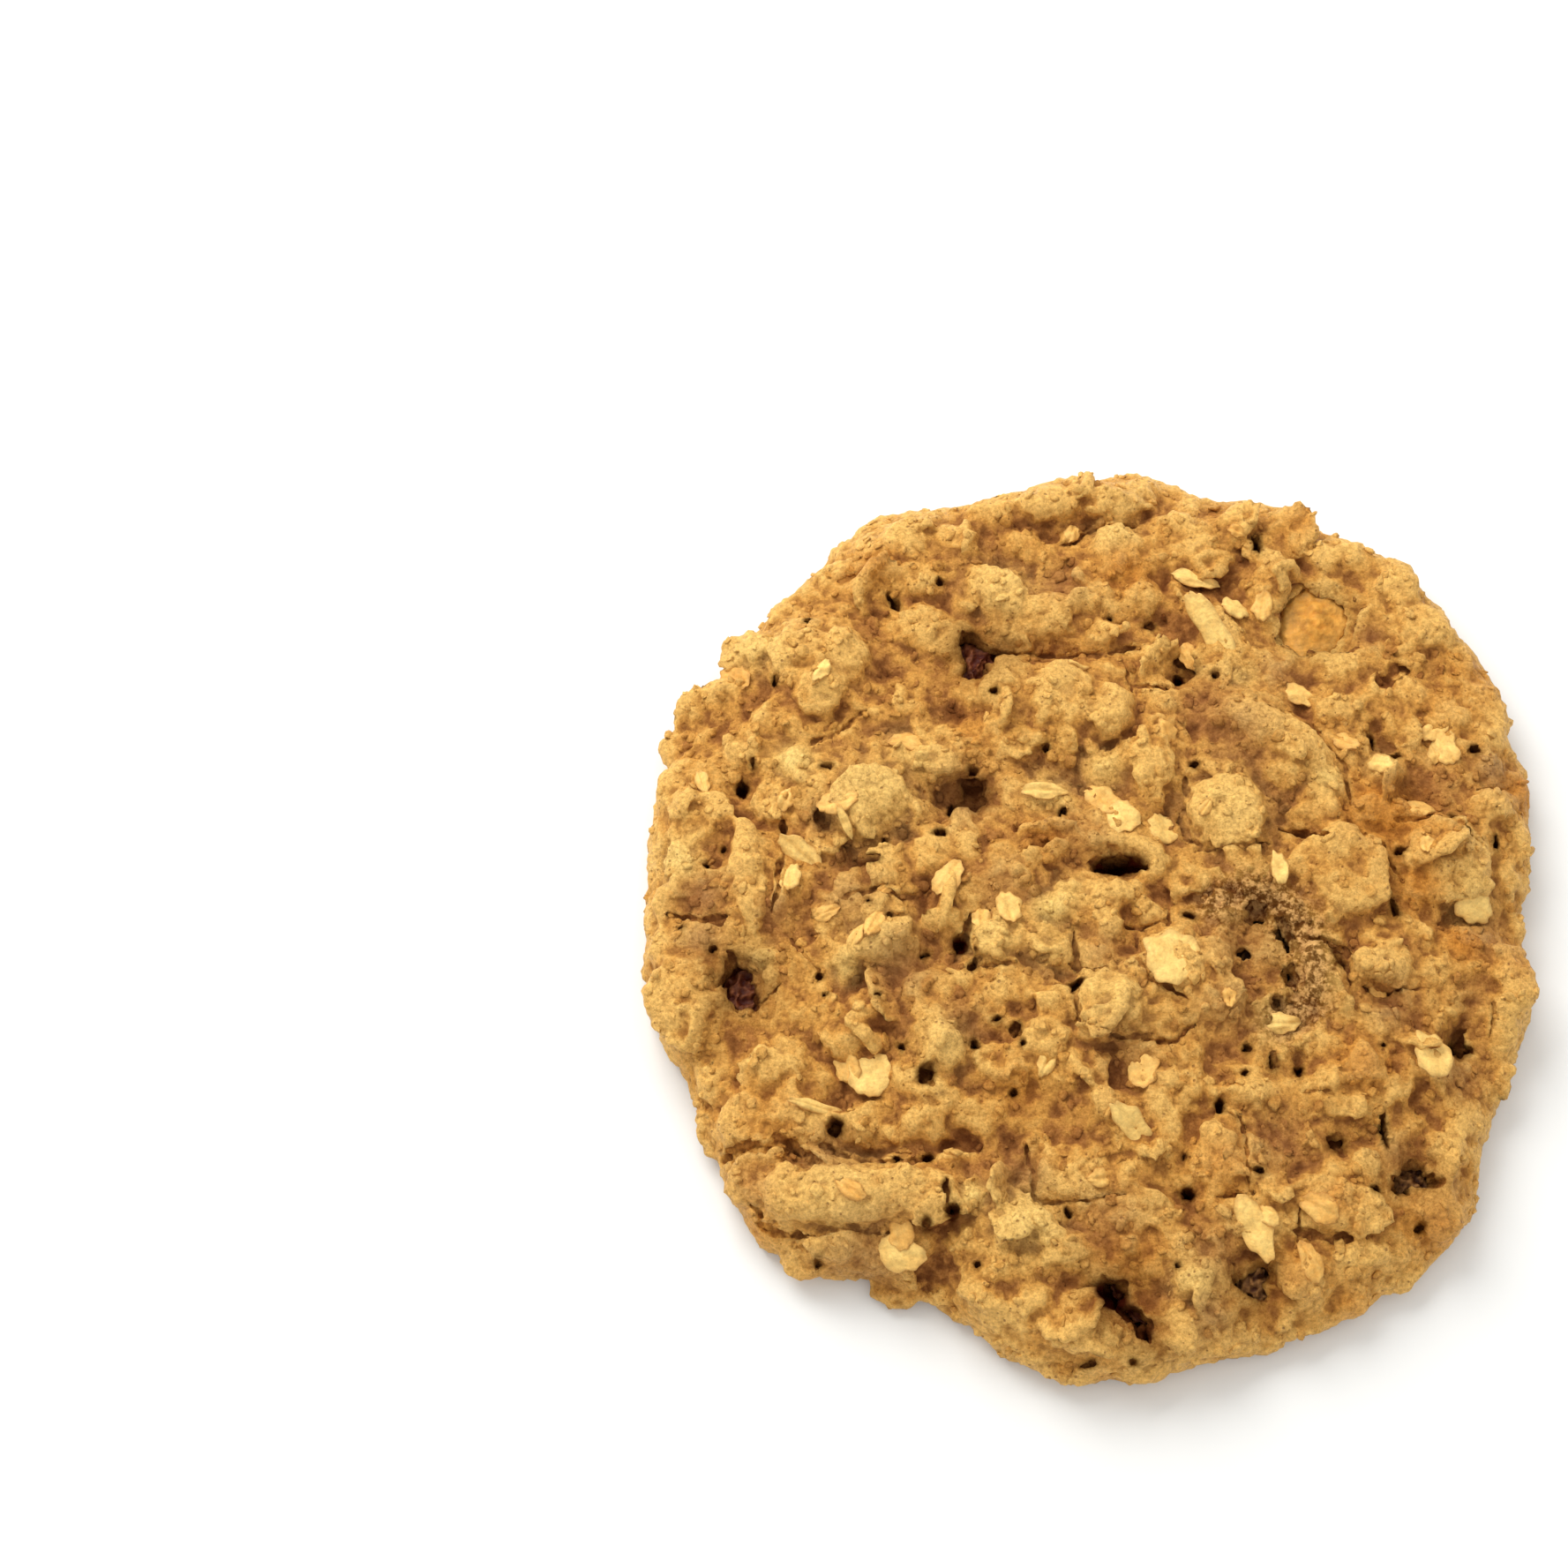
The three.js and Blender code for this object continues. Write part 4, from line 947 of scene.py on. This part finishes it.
def doughMaterial():
    material, tree, shader = newMaterial("bakedOatDough")
    coords = coordinates(tree)
    grain = noiseNode(tree, coords, crust["grainSize"], 5.0, 0.78)
    patches = noiseNode(tree, coords, crust["patchSize"], 3.0, 0.6)
    pore = poreAmount(tree, coords)

    # paler where a spot stands above its neighbourhood, darker in hollows and the valleys between lumps:
    # painted highlight on the crests and painted shade in the recesses, partly the crust's own tone
    level = mapRange(tree, kept(tree, "middleCavity"), -0.6, 0.6, 0.0, 0.55)
    valleyShade = mapRange(tree, kept(tree, "broadCavity"), -1.5, 1.5, 0.0, 0.5)
    shift = mapRange(tree, patches, 0.25, 0.75, -crust["patchShift"], crust["patchShift"])
    level = mathNode(tree, "ADD", mathNode(tree, "ADD", level, valleyShade), shift)
    colour = rampNode(tree, level, [(0.2, crust["high"]), (0.5, crust["level"]), (0.75, crust["low"]),
                                    (1.0, crust["deep"])])

    clots = mapRange(tree, noiseNode(tree, coords, crust["clotSize"], 3.0, 0.65), 0.44, 0.56)
    mottled = mixColour(tree, clots, crust["rubble"], crust["rubblePale"])
    # orange is the crust's own colour; cream is partly painted highlight, mauve and stain partly painted
    # shade
    for tint in ("orange", "mauve", "cream", "stain", "rubble"):
        amount = mathNode(tree, "MULTIPLY", kept(tree, tint), crust["tintShare"])
        colour = mixColour(tree, amount, colour, mottled if tint == "rubble" else crust[tint])

    # painted shade in the grain's hollows and painted highlight on its crests, following the bump
    grainShading = mixColour(tree, mapRange(tree, grain, 0.34, 0.66), crust["grainHollowShade"], crust["grainCrestHighlight"])
    colour = mixColour(tree, 1.0, colour, grainShading, "MULTIPLY")
    # painted shade in the fine creases
    creaseShade = mapRange(tree, kept(tree, "fineCavity"), 0.02, 0.16)
    creaseShade = mathNode(tree, "MULTIPLY", creaseShade, crust["creaseShadeShare"])
    colour = mixColour(tree, creaseShade, colour, crust["deep"])
    # painted shade in the small pores, with brown specks
    colour = mixColour(tree, mathNode(tree, "MULTIPLY", pore, crust["poreShade"]), colour, crust["speck"])
    # painted shade in the holes
    colour = mixColour(tree, kept(tree, "pitShade"), colour, crust["pit"])
    colour = mixColour(tree, footAmount(tree, coords), colour, crust["under"])
    tree.links.new(colour, shader.inputs["Base Color"])

    tree.links.new(mapRange(tree, patches, 0.3, 0.7, 0.4, 0.65), shader.inputs["Roughness"])
    dull = kept(tree, "pitShade")         # torn holes, rubble and the stained mouths, with their painted shade, don't shine
    for mark in ("rubble", "stain"):
        dull = mathNode(tree, "ADD", dull, kept(tree, mark))
    shine = mathNode(tree, "MULTIPLY", mapRange(tree, level, 0.2, 0.7, 0.35, 0.05),
                     mapRange(tree, dull, 0.0, 0.7, 1.0, 0.05))
    tree.links.new(shine, shader.inputs["Specular IOR Level"])
    height = mathNode(tree, "SUBTRACT", grain, mathNode(tree, "MULTIPLY", pore, crust["poreDepth"]))
    bumpNode(tree, shader, height, crust["bump"])
    return material


raisinSkin = {
    "voxel": 0.2 * mm,
    "softening": 6,
    "lift": 0.5 * mm,       # the top of a dark raisin, nearer to the crust
    "folds": (1.6 * mm, 0.9 * mm),           # the size of the waves and how far they go
    "wrinkles": (0.6 * mm, 0.35 * mm),
    "amberFold": 0.45,      # share of the other raisins' folds
    "bareReach": 0.3,       # dough thinly coats the amber raisin beyond this share of its reach
    "coatWidth": 0.4,
    "cavityRounds": 6,
    "blotchSize": 1.1 * mm,
    "bump": 0.2 * mm,
    # fold and ridge colours: painted shade in the folds, painted highlight on the ridges, partly the skin's
    # own colour
    "dark": {"fold": seen(82, 28, 14), "ridge": seen(142, 82, 48), "rough": 0.38},
    "coated": {"fold": seen(66, 32, 12), "ridge": seen(156, 108, 58), "rough": 0.5},
    "amber": {"fold": seen(184, 116, 36), "ridge": seen(216, 156, 66), "rough": 0.42},
    "rubble": {"fold": seen(60, 32, 12), "ridge": seen(140, 98, 52), "rough": 0.5},
}


def coatOf(places, low, high):           # from the bare middle out to the rim
    middle, half = (np.array(low) + high) / 2, (np.array(high) - low) / 2
    reach = np.hypot(*((places - middle) / half)[:, :2].T)
    return np.clip((reach - raisinSkin["bareReach"]) / raisinSkin["coatWidth"], 0, 1)


def makeRaisin(name, skin):
    first, *rest = name.split("_")
    raisin = copyNode(name, first + "".join(word.capitalize() for word in rest))
    fuse(raisin, raisinSkin["voxel"], raisinSkin["softening"])
    share, middle = (raisinSkin["amberFold"], 0.2) if skin == "amber" else (1.0, 0.75)
    size, depth = raisinSkin["folds"]
    pushOut(raisin, "folds", size, depth * share, middle, noise_type="HARD_NOISE", noise_depth=1)
    size, depth = raisinSkin["wrinkles"]
    pushOut(raisin, "wrinkles", size, depth * share, 0.75, noise_type="HARD_NOISE")
    places = points(raisin)
    low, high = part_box(name)
    if skin in ("dark", "coated"):
        places[:, 2] += raisinSkin["lift"] * np.clip((places[:, 2] - low[2]) / (high[2] - low[2]), 0, 1)
        setPoints(raisin, places)
    keepCavity(raisin, "foldCavity", raisinSkin["cavityRounds"])
    keepAttribute(raisin, "coat", coatOf(places, low, high) if skin == "amber" else np.zeros(len(places)))
    shadeSmooth(raisin)
    return raisin


def raisinMaterial(kind):
    skin = raisinSkin[kind]
    material, tree, shader = newMaterial(f"{kind}Raisin")
    coords = coordinates(tree)
    # darker in the folds and paler on the ridges: painted shade and highlight, partly the skin's own colour
    height = mapRange(tree, kept(tree, "foldCavity"), 0.12, -0.12)
    colour = mixColour(tree, height, skin["fold"], skin["ridge"])
    blotch = noiseNode(tree, coords, raisinSkin["blotchSize"], 4.0, 0.6)
    coat = mathNode(tree, "MULTIPLY", kept(tree, "coat"), mapRange(tree, blotch, 0.35, 0.6, 1.2, 0.5))
    colour = mixColour(tree, coat, colour, crust["level"])
    tone = mapRange(tree, blotch, 0.3, 0.7, 0.6, 1.3)
    colour = mixColour(tree, 1.0, colour, tone, "MULTIPLY")
    tree.links.new(colour, shader.inputs["Base Color"])
    shader.inputs["Roughness"].default_value = skin["rough"]
    shader.inputs["Specular IOR Level"].default_value = 0.15
    bumpNode(tree, shader, noiseNode(tree, coords, 0.5 * mm, 4.0, 0.65), raisinSkin["bump"], 0.7)
    return material


# Bare flakes of oat that the dough hasn't coated: x, y, length, width, turn, lift of the flake,
# lean along its length and across it in degrees.
bareOats = {
    "named": [
        (-29, 3.4, 5.5, 2.6, -42, 0.3, 0, 22), (-22.3, -19, 4.6, 4.4, 30, 0.3, 8, 0),
        (-27.5, -22.6, 6.5, 1.2, -8, 0.3, 0, 0), (-19.6, -36.5, 4.6, 3.4, -15, 0.2, 0, 0),
        (7, -8.3, 6, 5.6, 40, 0.3, 10, 0), (13, 27, 10.5, 2.8, -62, 0.2, 0, 30),
        (15.2, 30.3, 3.4, 2.6, 0, 0.4, 12, 0), (11.4, 34, 5, 1.8, -15, 0.2, 0, 0),
        (2.8, 6.8, 3.4, 3.6, -20, 0.1, 0, 0), (6.8, 6, 3.6, 3.6, 0, 0.1, 0, 0),
        (37.5, -1.6, 4.2, 3.4, -30, 0.2, 8, 0), (2.6, -24.8, 6.2, 2.6, -50, 0.2, 0, 15),
        (14, -34.5, 3, 7, 25, 0.1, 0, 0), (29, 12.6, 3, 2, -25, 0.2, 0, 0),
        (32, -17.6, 4, 5, 15, 0.1, 10, 0), (-4.9, 9.5, 4.6, 1.8, 0, 0.2, 0, 0),
        (17.6, -14, 3.6, 2, 0, 0.2, 0, 10), (-24.7, 6.2, 1, 3.6, 20, 0.3, 0, 0),
        (18, 1.2, 1.7, 3.5, 8, 0.2, 0, 0), (-27, 22.5, 1.4, 3, -30, 0.2, 0, 0),
    ],
    "scattered": 40,
    "reach": 43,
    "size": (1.8, 4.2),
    "slimness": (0.5, 0.8),
    "lift": (-0.1, 0.2),
    "steepest": 0.6,        # upward share of the normal that they still lie on
    "thickness": 0.6,       # share of a rolled oat's
    "seed": 21,
    "pale": seen(246, 204, 116),
    "dull": seen(222, 164, 78),
    "toast": seen(160, 100, 40),
}


def restingPlace(finder, x, y, reach):   # the mean of five points under the flake
    hits = [topPoint(finder, x + dx * reach, y + dy * reach)
            for dx, dy in ((0, 0), (1, 0), (-1, 0), (0, 1), (0, -1))]
    hits = [(hit, normal) for hit, normal, _ in hits if hit is not None]
    if not hits:
        return None, None
    place = sum((hit for hit, _ in hits), Vector()) / len(hits)
    return place, sum((normal for _, normal in hits), Vector()).normalized()


def makeBareOats(finder):
    shapes = makeOatShapes("bareOat")
    dice = random.Random(bareOats["seed"])
    flakes = list(bareOats["named"])
    for _ in range(bareOats["scattered"]):
        x, y = anywhere(dice, bareOats["reach"])
        size = dice.uniform(*bareOats["size"])
        flakes.append((x, y, size, size * dice.uniform(*bareOats["slimness"]), dice.uniform(0, 360),
                       dice.uniform(*bareOats["lift"]), dice.gauss(0, 6), dice.gauss(0, 8)))
    laid = []
    for x, y, length, width, turn, lift, pitch, roll in flakes:
        place, normal = restingPlace(finder, x, y, min(length, width) * 0.35)
        if place is None or normal.z < bareOats["steepest"]:
            continue
        size = (length * mm / oatFlake["length"], width * mm / oatFlake["width"], bareOats["thickness"])
        tilt = Euler((math.radians(roll), math.radians(pitch), 0)).to_matrix() @ normal
        laid.append(placeCopy(dice.choice(shapes), place + normal * lift * mm, turn, (0, 0), size, tilt))
        named = len(laid) <= len(bareOats["named"])
        pale = dice.uniform(0.7, 1) if named else dice.uniform(0, 0.6)
        keepAttribute(laid[-1], "paleness", np.full(len(laid[-1].data.vertices), pale))
    return gather(laid, shapes, "bareOats")


# Loose crumbs baked onto the dough, with the colour marks that it has under each of them, painted highlight
# and shade included.
crumbs = {
    "count": 2350,
    "reach": 48,
    "steepest": 0.35,
    "foot": 1.5 * mm,       # none sticks below this
    "clearance": 0.6,       # share of a hole's length that is free of them
    "small": 0.28 * mm,
    "large": 0.75 * mm,
    "width": (0.55, 1),
    "height": (0.25, 0.5),
    "lift": (-0.15, 0.1),   # share of the crumb's size
    "lean": 0.25,           # radians
    "cavity": -0.03,        # they stand proud of the dough and get no painted crease shade
    "seed": 33,
}


def makeCrumbs(dough, finder):
    balls = makeBalls("crumb")
    names = ("middleCavity", "broadCavity", *tints, "stain", "rubble")
    shades = {name: readNumbers(dough.data.attributes[name].data, "value", 1)[:, 0] for name in names}
    dice = random.Random(crumbs["seed"])
    holes = [mouth for raisin in raisins.values() for mouth in raisin["mouth"]] + pits
    laid, values = [], {name: [] for name in names}
    while len(laid) < crumbs["count"]:
        x, y = anywhere(dice, crumbs["reach"])
        hit, normal, face = topPoint(finder, x, y)
        turn = dice.uniform(0, 360)
        if hit is None or hit.z < crumbs["foot"] or normal.z < crumbs["steepest"]:
            continue
        if any(math.hypot(x - hole[0], y - hole[1]) < hole[2] * crumbs["clearance"] for hole in holes):
            continue
        size = crumbs["small"] + (crumbs["large"] - crumbs["small"]) * dice.random() ** 2
        shape = (size, size * dice.uniform(*crumbs["width"]), size * dice.uniform(*crumbs["height"]))
        lean = aPair(dice, crumbs["lean"])
        ball = dice.choice(balls)
        place = hit + normal * size * dice.uniform(*crumbs["lift"])
        laid.append(placeCopy(ball, place, turn, lean, shape, normal))
        corner = dough.data.loop_triangles[face].vertices[0]
        for name in names:
            values[name] += [shades[name][corner]] * len(laid[-1].data.vertices)
    piece = gather(laid, balls, "looseCrumbs")
    for name in names:
        keepAttribute(piece, name, values[name])
    keepAttribute(piece, "fineCavity", np.full(len(piece.data.vertices), crumbs["cavity"]))
    return piece


def bareOatMaterial():
    material, tree, shader = newMaterial("bareOatFlake")
    coords = coordinates(tree)
    patches = noiseNode(tree, coords, 1.6 * mm, 4.0, 0.65)
    tone = mathNode(tree, "ADD", mapRange(tree, patches, 0.35, 0.65, -0.3, 0.3), kept(tree, "paleness"))
    colour = mixColour(tree, tone, bareOats["dull"], bareOats["pale"])
    toast = mapRange(tree, kept(tree, "rimShare"), 0.8, 1.0, 0.0, 0.45)
    colour = mixColour(tree, toast, colour, bareOats["toast"])
    fleck = noiseNode(tree, coords, 0.55 * mm, 4.0, 0.7)
    colour = mixColour(tree, 1.0, colour, mapRange(tree, fleck, 0.3, 0.7, 0.72, 1.14), "MULTIPLY")
    tree.links.new(colour, shader.inputs["Base Color"])
    shader.inputs["Roughness"].default_value = 0.6
    shader.inputs["Specular IOR Level"].default_value = 0.3
    bumpNode(tree, shader, fleck, 0.2 * mm, 0.8)
    return material


def dress(piece, material, node=None):
    piece.data.materials.clear()
    piece.data.materials.append(material)
    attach(piece, "root")
    if node:
        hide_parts(node)


studio = {
    "cameraPlace": (-30.82 * mm, -115.81 * mm, 322.68 * mm),
    "cameraPitch": 21.95,         # degrees up from straight down
    "lens": 77.83,
    "sensor": 36,
    "floorSize": 3.0,
    "paper": (0.84, 0.84, 0.815, 1),
    "keyPlace": (-0.25, 0.36, 0.4),
    "keySize": 0.45,
    "keyPower": 3.4,
    "skyStrength": 0.87,
}


def linkNew(name, data, place):
    thing = bpy.data.objects.new(name, data)
    bpy.context.scene.collection.objects.link(thing)
    thing.location = place
    return thing


def makeStage():
    deselectAll()
    bpy.ops.mesh.primitive_plane_add(size=studio["floorSize"], location=(0, 0, 0))
    floor = bpy.context.object
    floor.name = "floor"
    material, _, shader = newMaterial("palePaper")
    shader.inputs["Base Color"].default_value = studio["paper"]
    shader.inputs["Roughness"].default_value = 0.9
    floor.data.materials.append(material)

    camera = bpy.data.cameras.new("camera")
    camera.lens = studio["lens"]
    camera.sensor_width = studio["sensor"]
    camera.clip_start = 10 * mm
    holder = linkNew("camera", camera, studio["cameraPlace"])
    holder.rotation_euler = (math.radians(studio["cameraPitch"]), 0, 0)
    bpy.context.scene.camera = holder

    key = bpy.data.lights.new("softBox", "AREA")
    key.size = studio["keySize"]
    key.energy = studio["keyPower"]
    lamp = linkNew("softBox", key, studio["keyPlace"])
    lamp.rotation_euler = (-lamp.location).to_track_quat("-Z", "Y").to_euler()

    world = bpy.data.worlds.new("softRoom")
    bpy.context.scene.world = world
    world.use_nodes = True
    sky = world.node_tree.nodes["Background"]
    sky.inputs["Color"].default_value = (1, 1, 1, 1)
    sky.inputs["Strength"].default_value = studio["skyStrength"]
    bpy.context.scene.view_settings.view_transform = "Standard"


makeStage()
print("stage ready")
dough = makeDough()
paintDough(dough)
doughFinder = surfaceFinder(dough)
doughCrust = doughMaterial()
dress(makeBareOats(doughFinder), bareOatMaterial())
dress(makeCrumbs(dough, doughFinder), doughCrust)
dress(dough, doughCrust, "cookie")
skins = {kind: raisinMaterial(kind) for kind in ("dark", "coated", "amber", "rubble")}
for name, raisin in raisins.items():
    dress(makeRaisin(name, raisin["skin"]), skins[raisin["skin"]], name)
print("raisins ready")
